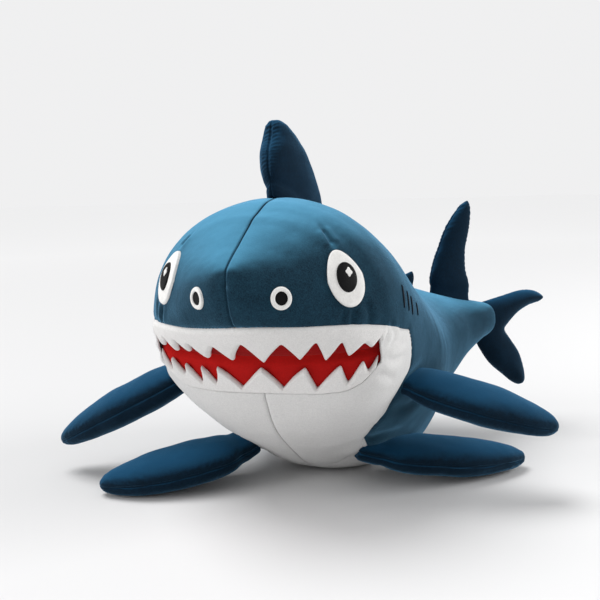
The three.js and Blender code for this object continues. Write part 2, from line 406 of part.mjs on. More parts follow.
for (const [name, q] of Object.entries(FINS)) {
  const low = name.startsWith('lower'), U = unit(sub3(q.to, q.o));
  // flat across the fin, chord running backwards
  const W = unit([-U[0] * U[2], -U[1] * U[2], 1 - U[2] * U[2]]), f = frame3(q.o, U, W);
  if (f.V[1] < 0) f.V = f.V.map(v => -v);
  const rows = scaleU(low ? LOWR : PEC, q.L, q.fat), L = q.L;
  // raising turns the tip up: the axis runs along the chord
  const ax = cross3(U, [0, 0, 1]);
  const room = bodySweep(q.o, ax, [q.swing[0], 0, q.swing[1] * 0.5, q.swing[1]], -0.4);
  fin(name, f, rows, [-22, 0, 20, 45, L * 0.52, L * 0.72, L * 0.88, L * 0.965, L], low ? 0 : null, 5, ['top', 'bottom'], room);
}
// rear dorsal fin on the stem
{
  const rows = [[0, 0, 26.5, 6, 0], [7.7, 0, 27.5, 10, 0], [26.8, -1, 24, 11.8, 0], [52.7, 3, 19.4, 11.2, 0], [76.6, 10.5, 17, 10.6, 0], [93.9, 17.5, 12.5, 8.3, 0], [104.4, 22, 7.5, 5.5, 0], [109.2, 24.5, 1.5, 1.5, 0]];
  const [X, Y, a] = spine(297), f = frame3([X, Y, 166], [0, 0, 1], [-Math.cos(a), Math.sin(a), 0]);
  f.slope = -0.25; f.length = 109.2;
  fin('rear_dorsal_fin', f, rows, [0, 7.7, 26.8, 52.7, 80, 97, 105, 109.2], null, 4, ['right', 'left']);
}
// caudal fin: two lobes from one root, built as left and right panels
{
  const [X, Y, a] = spine(STEM_END), U = [Math.sin(a), Math.cos(a), 0], N = [Math.cos(a), -Math.sin(a), 0];
  // outline in (d along the tail, z), from the root top round the upper lobe, notch, lower lobe
  const C = [[0, 150], [9, 152], [34, 157], [60, 162], [80, 160], [93, 152], [87, 146], [71, 142], [55, 134], [41, 121], [38, 115], [46, 103], [58, 85], [65, 64], [66, 50], [60, 44], [49, 48], [34, 60], [16, 76], [2, 96], [-1, 108]];
  // mid line of the fin, for the thickness: distance to the outline
  const dist = p => { let m = 1e9; for (let i = 0; i < C.length - 1; i++) { const A = C[i], B = C[i + 1], t = Math.max(0, Math.min(1, ((p[0] - A[0]) * (B[0] - A[0]) + (p[1] - A[1]) * (B[1] - A[1])) / ((B[0] - A[0]) ** 2 + (B[1] - A[1]) ** 2))); m = Math.min(m, Math.hypot(p[0] - A[0] - t * (B[0] - A[0]), p[1] - A[1] - t * (B[1] - A[1]))); } return m; };
  const thick = p => 1.2 + 11 * (1 - Math.exp(-dist(p) / 9)) * Math.min(1, 0.55 + Math.max(0, p[0]) / 40);
  // triangulate the outline with inner points
  const pts2 = []; // interior sample points
  for (let d = 6; d < 92; d += 11) for (let z = 44; z < 160; z += 11) { const p = [d + ((z / 11) % 2 | 0) * 3, z]; if (inPoly(p, C) && dist(p) > 6.5) pts2.push(p); }
  const B = orient(C), all = B.concat(pts2), tri = delaunayIn(all, B);
  const shrinkC = (k) => { // move boundary points inward by k along the local bisector
    return B.map((p, i) => { const A = B[(i + B.length - 1) % B.length], D = B[(i + 1) % B.length]; const t1 = unit([p[0] - A[0], p[1] - A[1]]), t2 = unit([D[0] - p[0], D[1] - p[1]]); const n = unit([-(t1[1] + t2[1]), t1[0] + t2[0]]); const c = Math.max(0.6, n[0] * -t1[1] + n[1] * t1[0]); return [p[0] + n[0] * k / c, p[1] + n[1] * k / c]; });
  };
  const W3 = (p, w) => [X + U[0] * p[0] + N[0] * w, Y + U[1] * p[0] + N[1] * w, p[1]];
  const panel = (sgn) => {
    const n = all.length, Bi = shrinkC(2.4), V = [], T = [];
    all.forEach((p, i) => V.push(W3(p, sgn * (SEAM / 2 + (i < B.length ? 1.7 : thick(p))))));
    all.forEach((p, i) => { const q = i < B.length ? Bi[i] : p; V.push(W3(q, sgn * (SEAM / 2 + (i < B.length ? 0.9 : thick(p) - FIN_SKIN)))); });
    // rim vertices on the seam plane
    tri.forEach(([a1, b1, c1]) => { T.push([a1, b1, c1], [n + a1, n + c1, n + b1]); });
    for (let i = 0; i < B.length; i++) { const j = (i + 1) % B.length; T.push([j, i, n + i], [j, n + i, n + j]); }
    return solid(V, T);
  };
  add('caudal_fin_left_panel', panel(1), 'blue');
  add('caudal_fin_right_panel', panel(-1), 'blue');
  // stuffing, one closed pillow inside
  const Bs = shrinkC(3.6), V = [], T = [], n = all.length;
  const h = i => i < B.length ? 0 : Math.max(0.3, thick(all[i]) - FIN_SKIN - 0.5);
  const idTop = [], idBot = [];
  all.forEach((p, i) => { const q = i < B.length ? Bs[i] : p; idTop[i] = V.push(W3(q, h(i))) - 1; idBot[i] = i < B.length ? idTop[i] : V.push(W3(q, -h(i))) - 1; });
  tri.forEach(([a1, b1, c1]) => {
    T.push([idTop[a1], idTop[b1], idTop[c1]]);
    T.push([idBot[a1], idBot[c1], idBot[b1]]);
  });
  // drop the doubled flat triangles on the rim
  const bad = tri.filter(t => t.every(i => i < B.length)).length;
  add('caudal_fin_stuffing', bad ? stuffingWithMid(all, B, tri, Bs, h, W3) : solid(V, T), 'fill');
}
function inPoly(p, P) { let c = false; for (let i = 0, j = P.length - 1; i < P.length; j = i++) { if ((P[i][1] > p[1]) !== (P[j][1] > p[1]) && p[0] < (P[j][0] - P[i][0]) * (p[1] - P[i][1]) / (P[j][1] - P[i][1]) + P[i][0]) c = !c; } return c; }
function delaunayIn(P, B) {
  // plain incremental-free Delaunay for a small set: keep triangles with an empty circle and the middle inside the outline
  const n = P.length, T = [];
  const nb = B.length;
  for (let i = 0; i < n; i++) for (let j = i + 1; j < n; j++) for (let k = j + 1; k < n; k++) {
    const [ax, ay] = P[i], [bx, by] = P[j], [cx, cy] = P[k];
    const d = 2 * (ax * (by - cy) + bx * (cy - ay) + cx * (ay - by)); if (Math.abs(d) < 1e-6) continue;
    const ux = ((ax * ax + ay * ay) * (by - cy) + (bx * bx + by * by) * (cy - ay) + (cx * cx + cy * cy) * (ay - by)) / d;
    const uy = ((ax * ax + ay * ay) * (cx - bx) + (bx * bx + by * by) * (ax - cx) + (cx * cx + cy * cy) * (bx - ax)) / d;
    const r = Math.hypot(ax - ux, ay - uy) - 1e-7; let ok = true;
    for (let q = 0; q < n && ok; q++) if (q !== i && q !== j && q !== k && Math.hypot(P[q][0] - ux, P[q][1] - uy) < r) ok = false;
    if (!ok) continue;
    const m = [(ax + bx + cx) / 3, (ay + by + cy) / 3]; if (!inPoly(m, B)) continue;
    T.push(d > 0 ? [i, j, k] : [i, k, j]);
  }
  return T;
}
function stuffingWithMid(all, B, tri, Bs, h, W3) {
  const V = [], T = [], top = [], bot = [];
  const nb = B.length;
  all.forEach((p, i) => { const q = i < nb ? Bs[i] : p, hh = i < nb ? 0.4 : Math.max(0.6, h(i) - 0.2); top[i] = V.push(W3(q, hh)) - 1; bot[i] = V.push(W3(q, -hh)) - 1; });
  tri.forEach(([a, b, c]) => { T.push([top[a], top[b], top[c]], [bot[a], bot[c], bot[b]]); });
  for (let i = 0; i < nb; i++) { const j = (i + 1) % nb; T.push([top[j], top[i], bot[i]], [top[j], bot[i], bot[j]]); }
  return solid(V, T);
}
// two small felt finlets
{
  const rows = [[0, 0, 7, 2, 0], [5, 1.5, 5, 2, 0], [10, 4, 2.2, 1.6, 0], [13, 5.5, 0.8, 0.8, 0]];
  const us = [0, 5, 10, 13];
  const one = (name, f) => add(name, loft(finRow(rows, us).map(r => section(f, r, 0, 2 * Math.PI * 7 / 8, 7, 0, 0, 0, null))), 'blue');
  const [X, Y, a] = spine(238);
  one('finlet_top', frame3([X, Y, 183.5], [0, 0, 1], [-Math.cos(a), Math.sin(a), 0]));
  for (const [name, sg] of [['left', 1], ['right', -1]]) {
    const a2 = spine(232)[2], U = unit([sg * 0.8 * Math.cos(a2), -sg * 0.8 * Math.sin(a2), -0.6]), V = [Math.sin(a2), Math.cos(a2), 0];
    one(`finlet_${name}`, frame3(place(232, sg * 80.5, 64.5), U, cross3(U, V)));
  }
}

export default group;
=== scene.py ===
import bpy, math
import numpy as np
from mathutils import Vector, Matrix, noise
from mathutils.bvhtree import BVHTree


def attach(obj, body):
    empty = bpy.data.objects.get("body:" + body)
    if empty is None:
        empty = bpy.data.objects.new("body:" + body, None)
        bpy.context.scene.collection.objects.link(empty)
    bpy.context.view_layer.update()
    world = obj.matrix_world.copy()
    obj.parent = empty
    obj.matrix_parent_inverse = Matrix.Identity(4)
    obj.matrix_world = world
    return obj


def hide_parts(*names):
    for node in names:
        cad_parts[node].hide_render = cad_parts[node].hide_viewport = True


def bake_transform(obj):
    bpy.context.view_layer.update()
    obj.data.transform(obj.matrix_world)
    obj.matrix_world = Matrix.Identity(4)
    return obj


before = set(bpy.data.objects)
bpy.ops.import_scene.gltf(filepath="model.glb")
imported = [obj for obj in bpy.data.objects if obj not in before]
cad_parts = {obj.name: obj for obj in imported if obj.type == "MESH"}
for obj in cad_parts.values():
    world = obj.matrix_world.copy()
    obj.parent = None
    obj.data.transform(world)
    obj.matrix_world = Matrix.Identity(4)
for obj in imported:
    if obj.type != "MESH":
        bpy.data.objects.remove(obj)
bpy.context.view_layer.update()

MM = 0.001
SHIFT = np.array([5.22, -106.06, 0.0])     # design frame (mm) to the row frame
rad = math.radians

# ------------------------------------------------------------------ camera
def make_camera():
    a, e, D, f, roll = rad(20), rad(8), 900.0, 929.0, rad(2.0)
    back = np.array([math.sin(a) * math.cos(e), -math.cos(a) * math.cos(e), math.sin(e)])
    right = np.array([math.cos(a), math.sin(a), 0.0])
    up = np.cross(back, right)
    r2 = right * math.cos(roll) - up * math.sin(roll)
    u2 = up * math.cos(roll) + right * math.sin(roll)
    P0 = np.array([0, 0, 164.0])
    u, v = (285 - 300) / f, -(330 - 300) / f
    pos = (P0 - D * (-back + u * r2 + v * u2) + SHIFT) * MM
    cam = bpy.data.cameras.new("camera")
    ob = bpy.data.objects.new("camera", cam)
    bpy.context.scene.collection.objects.link(ob)
    m = Matrix.Identity(4)
    for i in range(3):
        m[i][0], m[i][1], m[i][2], m[i][3] = r2[i], u2[i], back[i], pos[i]
    ob.matrix_world = m
    cam.sensor_width = 36.0
    cam.lens = f / 600.0 * 36.0
    cam.clip_start, cam.clip_end = 0.01, 50.0
    bpy.context.scene.camera = ob
make_camera()
bpy.context.scene.view_settings.view_transform = "Standard"

# --------------------------------------------------------------- materials
def nodes_of(name):
    m = bpy.data.materials.new(name)
    m.use_nodes = True
    nt = m.node_tree
    return m, nt, nt.nodes["Principled BSDF"]

def add(nt, kind, **kw):
    n = nt.nodes.new(kind)
    for k, v in kw.items():
        if k in n.inputs:
            n.inputs[k].default_value = v
        else:
            setattr(n, k, v)
    return n

def ramp(nt, stops):
    n = nt.nodes.new("ShaderNodeValToRGB")
    while len(n.color_ramp.elements) < len(stops):
        n.color_ramp.elements.new(0.5)
    for e, (p, c) in zip(n.color_ramp.elements, stops):
        e.position, e.color = p, (*c, 1)
    return n

def velour(name, dark, light, tint, sheen=1.0, sheen_rough=0.4, painted_light=None, bump=0.35, rough=0.95, patch=0.35):
    """Short pile fabric: fine pile grain, brushed patches, sheen from the shader; painted_light paints the colour
    lighter where the surface faces a given direction, standing in for light from there.
    """
    m, nt, b = nodes_of(name)
    L = nt.links.new
    tc = add(nt, "ShaderNodeTexCoord")
    pile = add(nt, "ShaderNodeTexNoise", Scale=850.0, Detail=3.0, Roughness=0.65)
    patchn = add(nt, "ShaderNodeTexNoise", Scale=26.0, Detail=4.0, Roughness=0.55, Distortion=0.8)
    grain = add(nt, "ShaderNodeTexNoise", Scale=240.0, Detail=3.0, Roughness=0.6)
    for n in (pile, patchn, grain):
        L(tc.outputs["Object"], n.inputs["Vector"])
    mix = add(nt, "ShaderNodeMath", operation="MULTIPLY_ADD")
    L(patchn.outputs["Fac"], mix.inputs[0]); mix.inputs[1].default_value = patch
    L(pile.outputs["Fac"], mix.inputs[2])
    mix2 = add(nt, "ShaderNodeMath", operation="MULTIPLY_ADD")
    L(grain.outputs["Fac"], mix2.inputs[0]); mix2.inputs[1].default_value = 0.3
    L(mix.outputs[0], mix2.inputs[2])
    last = mix2.outputs[0]                      # about 0.5 + 0.5*patch + 0.15
    base = 0.5 + 0.5 * patch + 0.15
    rng = add(nt, "ShaderNodeMapRange")
    rng.inputs["From Min"].default_value = base - 0.32
    rng.inputs["From Max"].default_value = base + 0.32
    L(last, rng.inputs["Value"])
    fac = rng.outputs["Result"]
    if painted_light:                                     # painted light: lighter where the surface faces this direction, as if lit from there
        lit_dir, lo, hi, amount = painted_light
        dot = add(nt, "ShaderNodeVectorMath", operation="DOT_PRODUCT")
        L(tc.outputs["Normal"], dot.inputs[0]); dot.inputs[1].default_value = lit_dir
        r2 = add(nt, "ShaderNodeMapRange", interpolation_type="SMOOTHSTEP")
        r2.inputs["From Min"].default_value, r2.inputs["From Max"].default_value = lo, hi
        L(dot.outputs["Value"], r2.inputs["Value"])
        w = add(nt, "ShaderNodeMath", operation="MULTIPLY_ADD")
        L(r2.outputs["Result"], w.inputs[0]); w.inputs[1].default_value = amount
        k = add(nt, "ShaderNodeMath", operation="MULTIPLY")
        L(fac, k.inputs[0]); k.inputs[1].default_value = 1.0 - amount
        L(k.outputs[0], w.inputs[2])
        fac = w.outputs[0]
    cr = ramp(nt, [(0.0, dark), (1.0, light)])
    L(fac, cr.inputs["Fac"])
    L(cr.outputs["Color"], b.inputs["Base Color"])
    bp = add(nt, "ShaderNodeBump", Strength=bump, Distance=0.0009)
    L(last, bp.inputs["Height"])
    L(bp.outputs["Normal"], b.inputs["Normal"])
    b.inputs["Roughness"].default_value = rough
    b.inputs["Specular IOR Level"].default_value = 0.12
    b.inputs["Sheen Weight"].default_value = sheen
    b.inputs["Sheen Roughness"].default_value = sheen_rough
    b.inputs["Sheen Tint"].default_value = (*tint, 1)
    return m

# painted light: the blue velour is painted lighter where it faces up, towards the overhead lamp
PAINTED_LIGHT_DIR = (-0.26, 0.08, 0.962)
BLUE = velour("blue_velour", (0.0022, 0.0095, 0.018), (0.092, 0.345, 0.545), (0.26, 0.62, 0.95), 0.70, 0.36,
              painted_light=(PAINTED_LIGHT_DIR, 0.24, 1.08, 0.87), bump=0.34, patch=0.5)
# painted shade: the fins get a darker copy of the blue velour, standing in for the shade on them
BLUE_FIN_SHADED = velour("blue_velour_fins_shaded", (0.0018, 0.0070, 0.014), (0.007, 0.064, 0.140), (0.20, 0.55, 0.92), 0.46, 0.34,
                  painted_light=(PAINTED_LIGHT_DIR, 0.0, 1.05, 0.82), bump=0.34, patch=0.5)
WHITE = velour("white_velour", (0.58, 0.575, 0.57), (0.73, 0.725, 0.715), (1, 1, 1), 0.15, 0.5, bump=0.34, patch=0.2)
TOOTH = velour("white_plush_teeth", (0.62, 0.61, 0.60), (0.79, 0.78, 0.77), (1, 1, 1), 0.15, 0.5, bump=0.45, patch=0.2)
# painted light: the red lining is painted lighter where it faces front-left, towards the front lamp
RED = velour("red_velour", (0.20, 0.002, 0.003), (0.50, 0.010, 0.008), (1.0, 0.25, 0.2), 0.06, 0.4, painted_light=((-0.35, -0.75, 0.30), 0.15, 0.85, 0.6), bump=0.4)

def felt(name, dark, light, sheen=0.2, rough=0.9, spec=0.1):
    m, nt, b = nodes_of(name)
    L = nt.links.new
    tc = add(nt, "ShaderNodeTexCoord")
    n1 = add(nt, "ShaderNodeTexNoise", Scale=1100.0, Detail=4.0, Roughness=0.7)
    n2 = add(nt, "ShaderNodeTexNoise", Scale=160.0, Detail=3.0, Roughness=0.6)
    mp = add(nt, "ShaderNodeMapping"); mp.inputs["Scale"].default_value = (1.0, 1.0, 0.35)
    L(tc.outputs["Object"], mp.inputs["Vector"])
    L(mp.outputs["Vector"], n1.inputs["Vector"]); L(tc.outputs["Object"], n2.inputs["Vector"])
    a = add(nt, "ShaderNodeMath", operation="MULTIPLY_ADD")
    L(n2.outputs["Fac"], a.inputs[0]); a.inputs[1].default_value = 0.5
    L(n1.outputs["Fac"], a.inputs[2])
    r = ramp(nt, [(0.45, dark), (1.0, light)])
    L(a.outputs[0], r.inputs["Fac"])
    L(r.outputs["Color"], b.inputs["Base Color"])
    bp = add(nt, "ShaderNodeBump", Strength=0.35, Distance=0.0005)
    L(a.outputs[0], bp.inputs["Height"]); L(bp.outputs["Normal"], b.inputs["Normal"])
    b.inputs["Roughness"].default_value = rough
    b.inputs["Specular IOR Level"].default_value = spec
    b.inputs["Sheen Weight"].default_value = sheen
    return m
FELT = felt("white_felt", (0.70, 0.69, 0.67), (0.88, 0.87, 0.85))
BLACK = felt("black_felt", (0.0010, 0.0010, 0.0012), (0.0045, 0.0045, 0.0050), 0.0, 0.5, 0.12)
THREAD = felt("dark_thread", (0.0015, 0.004, 0.008), (0.005, 0.013, 0.024), 0.0, 0.7, 0.15)

# ------------------------------------------------------------ mesh helpers
def vnormals(V, F):
    n = np.cross(V[F[:, 1]] - V[F[:, 0]], V[F[:, 2]] - V[F[:, 0]])
    N = np.zeros_like(V)
    for k in range(3):
        np.add.at(N, F[:, k], n)
    return N / np.maximum(np.linalg.norm(N, axis=1, keepdims=True), 1e-12)

def weld(V, F, tol=0.02):
    key = np.round(V / tol).astype(np.int64)
    _, first, inv = np.unique(key, axis=0, return_index=True, return_inverse=True)
    inv = inv.reshape(-1)
    F = inv[F]
    F = F[(F[:, 0] != F[:, 1]) & (F[:, 1] != F[:, 2]) & (F[:, 0] != F[:, 2])]
    return first, F

def clip(V, F, A, f):
    """Keep the part of a triangle mesh where f >= 0, cut exactly along f = 0."""
    f = np.where(np.abs(f) < 0.12, 0.0, f)
    pos = f >= 0
    cnt = pos[F].sum(1)
    keep = F[cnt == 3]
    out = [keep]
    keys, tri = [], []
    def rolled(sel, want):                      # put the odd vertex first
        T = F[sel]; P = pos[T]
        i = np.argmax(P == want, axis=1)
        r = np.arange(len(T))
        return np.stack([T[r, i], T[r, (i + 1) % 3], T[r, (i + 2) % 3]], 1)
    one, two = rolled(cnt == 1, True), rolled(cnt == 2, False)
    E = np.concatenate([one[:, [0, 1]], one[:, [0, 2]], two[:, [0, 1]], two[:, [0, 2]]])
    E.sort(axis=1)
    U, inv = np.unique(E, axis=0, return_inverse=True)
    inv = inv.reshape(-1)
    t = (f[U[:, 0]] / (f[U[:, 0]] - f[U[:, 1]]))[:, None]
    V2 = np.concatenate([V, V[U[:, 0]] * (1 - t) + V[U[:, 1]] * t])
    A2 = {k: np.concatenate([a, a[U[:, 0]] * (1 - t[:, 0]) + a[U[:, 1]] * t[:, 0]]) if a.ndim == 1
          else np.concatenate([a, a[U[:, 0]] * (1 - t) + a[U[:, 1]] * t]) for k, a in A.items()}
    idx = inv + len(V)
    n1, n2 = len(one), len(two)
    a, b = idx[:n1], idx[n1:2 * n1]
    out.append(np.stack([one[:, 0], a, b], 1))
    a, b = idx[2 * n1:2 * n1 + n2], idx[2 * n1 + n2:]
    out.append(np.stack([two[:, 1], two[:, 2], b], 1))
    out.append(np.stack([two[:, 1], b, a], 1))
    F2 = np.concatenate(out)
    used, F3 = np.unique(F2, return_inverse=True)
    F3 = F3.reshape(-1, 3)
    V3 = V2[used]
    A3 = {k: a[used] for k, a in A2.items()}
    first, F3 = weld(V3, F3)
    return V3[first], F3, {k: a[first] for k, a in A3.items()}

def thicken(V, F, N, t):
    """A skin becomes a closed sheet t thick, inwards."""
    n = len(V)
    E = np.concatenate([F[:, [0, 1]], F[:, [1, 2]], F[:, [2, 0]]])
    key = E[:, 0].astype(np.int64) * n + E[:, 1]
    rev = E[:, 1].astype(np.int64) * n + E[:, 0]
    edge = E[~np.isin(key, rev)]
    V2 = np.concatenate([V, V - N * t])
    q = np.concatenate([F, F[:, ::-1] + n,
                        np.stack([edge[:, 0], edge[:, 0] + n, edge[:, 1] + n], 1),
                        np.stack([edge[:, 0], edge[:, 1] + n, edge[:, 1]], 1)])
    return V2, q

def piece(name, V, F, mat, smooth=True):
    me = bpy.data.meshes.new(name)
    P = (np.asarray(V) + SHIFT) * MM
    me.from_pydata(P.tolist(), [], [tuple(int(i) for i in f) for f in F])
    me.validate()
    me.update()
    for p in me.polygons:
        p.use_smooth = smooth
    ob = bpy.data.objects.new(name, me)
    bpy.context.scene.collection.objects.link(ob)
    me.materials.append(mat)
    return ob

def grid_faces(r, c, wrap=False):
    i, j = np.meshgrid(np.arange(r - 1), np.arange(c if wrap else c - 1), indexing="ij")
    a = i * c + j; b = i * c + (j + 1) % c; d = (i + 1) * c + j; e = (i + 1) * c + (j + 1) % c
    return np.concatenate([np.stack([a, b, e], -1).reshape(-1, 3), np.stack([a, e, d], -1).reshape(-1, 3)])

def bvh(V, F):
    return BVHTree.FromPolygons(np.asarray(V).tolist(), [tuple(int(i) for i in f) for f in F])

def vnoise(P, scale, seed=0.0):
    Q = P * scale + seed
    return np.array([noise.noise(Vector(q)) for q in Q])

def polydist(x, y, pts):
    """Distance from points to an open polyline, and how far along it, 0..1."""
    best = np.full(x.shape, 1e9); along = np.zeros(x.shape)
    n = len(pts) - 1
    for i in range(n):
        (ax, ay), (bx, by) = pts[i], pts[i + 1]
        dx, dy = bx - ax, by - ay
        t = np.clip(((x - ax) * dx + (y - ay) * dy) / (dx * dx + dy * dy + 1e-12), 0, 1)
        d = np.hypot(x - ax - t * dx, y - ay - t * dy)
        m = d < best
        best = np.where(m, d, best); along = np.where(m, (i + t) / n, along)
    return best, along

def pchip(T, s):
    """Monotone cubic through a table of rows [s, ...]."""
    T = np.asarray(T, float); s = np.clip(np.asarray(s, float), T[0, 0], T[-1, 0])
    h = np.diff(T[:, 0]); d = np.diff(T[:, 1:], axis=0) / h[:, None]
    m = np.zeros((len(T), T.shape[1] - 1))
    m[0], m[-1] = d[0], d[-1]
    for j in range(1, len(T) - 1):
        a, b = d[j - 1], d[j]
        w1, w2 = 2 * h[j] + h[j - 1], h[j] + 2 * h[j - 1]
        ok = a * b > 0
        m[j] = np.where(ok, (w1 + w2) / (w1 / np.where(ok, a, 1) + w2 / np.where(ok, b, 1)), 0)
    i = np.clip(np.searchsorted(T[:, 0], s, side="right") - 1, 0, len(T) - 2)
    H = h[i]; t = ((s - T[i, 0]) / H)[..., None]; H = H[..., None]
    return ((2 * t**3 - 3 * t * t + 1) * T[i, 1:] + (t**3 - 2 * t * t + t) * m[i] * H
            + (3 * t * t - 2 * t**3) * T[i + 1, 1:] + (t**3 - t * t) * m[i + 1] * H)

# ------------------------------------------------------- the body surface
ST = [[-134, 230, 222, 216, 4, 2, 2], [-132, 236, 220, 206, 13, 2, 2], [-126, 242, 215, 192, 26, 2, 2],
      [-117, 248, 208, 181, 41, 2, 2], [-105, 255, 200, 168, 58, 2.05, 2.1], [-92, 263, 192, 156, 74, 2.1, 2.2],
      [-78, 271, 184, 145, 90, 2.15, 2.3], [-66, 278, 179, 130, 102, 2.2, 2.4], [-56, 282, 176, 107, 110, 2.2, 2.35],
      [-46, 286, 174, 87, 117, 2.2, 2.3], [-32, 290, 171, 70, 122, 2.15, 2.2], [-12, 292, 167, 54, 126, 2.1, 2.1],
      [15, 288, 161, 35, 128, 2, 2.1], [45, 274, 152, 16, 129, 1.95, 2.1], [80, 254, 143, 1, 130, 1.9, 2.1],
      [120, 233, 134, -7, 129, 1.85, 2.1], [160, 213, 127, -7, 123, 1.85, 2.1], [200, 194, 124, 9, 109, 1.85, 2.1],
      [240, 179, 123, 34, 86, 1.95, 2], [280, 166, 124, 66, 61, 2, 2], [305, 159, 127, 88, 43, 2, 2],
      [334, 153, 130, 107, 25, 2, 2], [350, 148, 131, 114, 14, 2, 2], [356, 142, 131, 120, 7, 2, 2]]
SPN = []
x, y, last = 0.0, -140.0, None
for s in range(-140, 422, 2):
    t = min(1.0, max(0.0, (s - 10) / 300.0))
    a = rad(50) * t * t * (3 - 2 * t)
    if last is not None:
        x += (math.sin(a) + math.sin(last)); y += (math.cos(a) + math.cos(last))
    SPN.append((s, x, y, a)); last = a
SPN = np.array(SPN)

def spine(s):
    return tuple(np.interp(s, SPN[:, 0], SPN[:, k]) for k in (1, 2, 3))

def place(s, x, z):
    X, Y, a = spine(s)
    return np.stack([X + x * np.cos(a), Y - x * np.sin(a), z + 0 * X], -1)

def ring_pts(s, th):
    T = pchip(ST, s)
    zt, zm, zb, w, nt, nb = (T[..., k] for k in range(6))
    c, d = np.cos(th), np.sin(th)
    e = np.where(d >= 0, nt, nb)
    x = w * np.sign(c) * np.abs(c) ** (2 / e)
    z = zm + np.where(d >= 0, zt - zm, zm - zb) * np.sign(d) * np.abs(d) ** (2 / e)
    zz = np.where(z < 4, 4 * np.exp((z - 4) / 4.0), z)      # settles softly onto the floor
    return place(s, x, zz), x

NTH = 380
u = np.arange(NTH) / NTH * 2 * np.pi
TH = u + 0.22 * np.sin(2 * u)
fine = np.linspace(-134, 356, 4000)
P, _ = ring_pts(fine[:, None], TH[None, ::10])
step = np.linalg.norm(np.diff(P, axis=0), axis=2).max(1)
arc = np.concatenate([[0], np.cumsum(step)])
NS = int(arc[-1] / (2.7))
SS = np.interp(np.linspace(0, arc[-1], NS), arc, fine)
Sg, Tg = np.meshgrid(SS, TH, indexing="ij")
P, X = ring_pts(Sg, Tg)
BV = P.reshape(-1, 3)
BF = grid_faces(NS, NTH, True)
BV = np.concatenate([BV, [P[0].mean(0), P[-1].mean(0)]])
k = np.arange(NTH)
BF = np.concatenate([BF, np.stack([np.full(NTH, NS * NTH), (k + 1) % NTH, k], 1),
                     np.stack([np.full(NTH, NS * NTH + 1), (NS - 1) * NTH + k, (NS - 1) * NTH + (k + 1) % NTH], 1)])
BS = np.concatenate([Sg.reshape(-1), [-134, 356]])
BX = np.concatenate([X.reshape(-1), [0, 0]])
BN = vnormals(BV, BF)
if (BN * (BV - BV.mean(0))).sum() < 0:
    BF = BF[:, ::-1]; BN = -BN
BASE = bvh(BV, BF)

LIP = [[-180, 160], [-100, 165], [-90, 171], [-80, 176], [-62, 180.5], [-47, 181], [-33, 181], [-18, 182.8], [0, 185], [11, 186],
       [27, 185.3], [36, 185], [49, 184.4], [60, 182], [72, 177], [80, 172], [90, 168], [100, 165], [180, 160]]
CHEEK = [[-20, 56], [10, 52], [30, 42], [47, 24], [77, 3], [105, 0], [132, 3], [145, 1], [169, -11], [178, -22], [190, -20.5], [420, -20]]
BELLY = [[5, 74], [40, 70], [75, 68], [115, 64], [155, 56], [195, 40], [228, 22], [250, 8]]
UP = [[-65, 173], [-59.5, 165], [-56, 157], [-51.5, 168], [-47.5, 153], [-42.5, 168], [-38, 155], [-33, 166], [-28.5, 150], [-17, 166], [-12, 149.5],
      [0, 170], [7.5, 148], [19, 170], [28.5, 151.5], [34.5, 171], [41.2, 150], [46, 170], [50.5, 154], [56, 167], [59.5, 161], [65, 173]]
LOW = [[-65, 160], [-60, 131], [-56.5, 147], [-53.5, 129], [-50, 142], [-46.5, 121.5], [-41.5, 140], [-37.5, 122.5], [-31, 139.5], [-18.9, 120],
       [2.5, 140.6], [17.8, 121], [32, 142], [40.7, 121], [48.8, 145], [54.2, 127], [57.3, 149.5], [60.8, 138], [65, 160]]
LSEAM = [[-64, 140], [-61, 126], [-57, 117], [-41, 114.5], [-18, 114.7], [0, 115.5], [17, 116], [41, 116.5], [54, 119.5], [60, 128], [62, 136], [64, 148]]
FOLD = [[-70, 160], [-66, 158], [-50, 146], [-30, 143], [0, 143], [30, 145], [50, 149], [66, 158], [70, 160]]
lip_z = lambda ph: pchip(LIP, ph)[..., 0]
cheek_y = lambda z: pchip(CHEEK, z)[..., 0]

def smooth_line(L, sig=0.55, n=1601):
    g = np.linspace(L[0][0] - 6, L[-1][0] + 6, n)
    v = np.interp(g, [p[0] for p in L], [p[1] for p in L])
    d = g[1] - g[0]; k = np.arange(-60, 61) * d; w = np.exp(-(k / sig) ** 2 / 2); w /= w.sum()
    v = np.convolve(np.pad(v, 60, mode="edge"), w, mode="valid")
    return lambda x: np.interp(x, g, v)
up_z, low_z, lseam_z = smooth_line(UP), smooth_line(LOW, 0.5), smooth_line(LSEAM, 1.5)
fold_z = smooth_line(FOLD, 3.0)

def phi_of(P):
    return np.degrees(np.arctan2(P[:, 0], -P[:, 1]))

def on_skin(ph, z):
    """Points and outward normals of the plain body where a bearing and a height meet it."""
    a = np.radians(ph); pts, nrm = np.zeros((len(ph), 3)), np.zeros((len(ph), 3))
    for i in range(len(ph)):
        d = Vector((math.sin(a[i]), -math.cos(a[i]), 0))
        hit = BASE.ray_cast(Vector((d.x * 300, d.y * 300, z[i])), -d)
        pts[i] = hit[0] if hit[0] is not None else (d.x * 60, d.y * 60, z[i])
        nrm[i] = hit[1] if hit[0] is not None else d
    return pts, nrm

R0 = 1.92          # mm for a degree of bearing, about the head's 110 mm radius

def groove(d, deep, w, wide=0.0, ww=9.0):
    return -deep * np.exp(-(d / w) ** 2) - wide * np.exp(-(d / ww) ** 2)

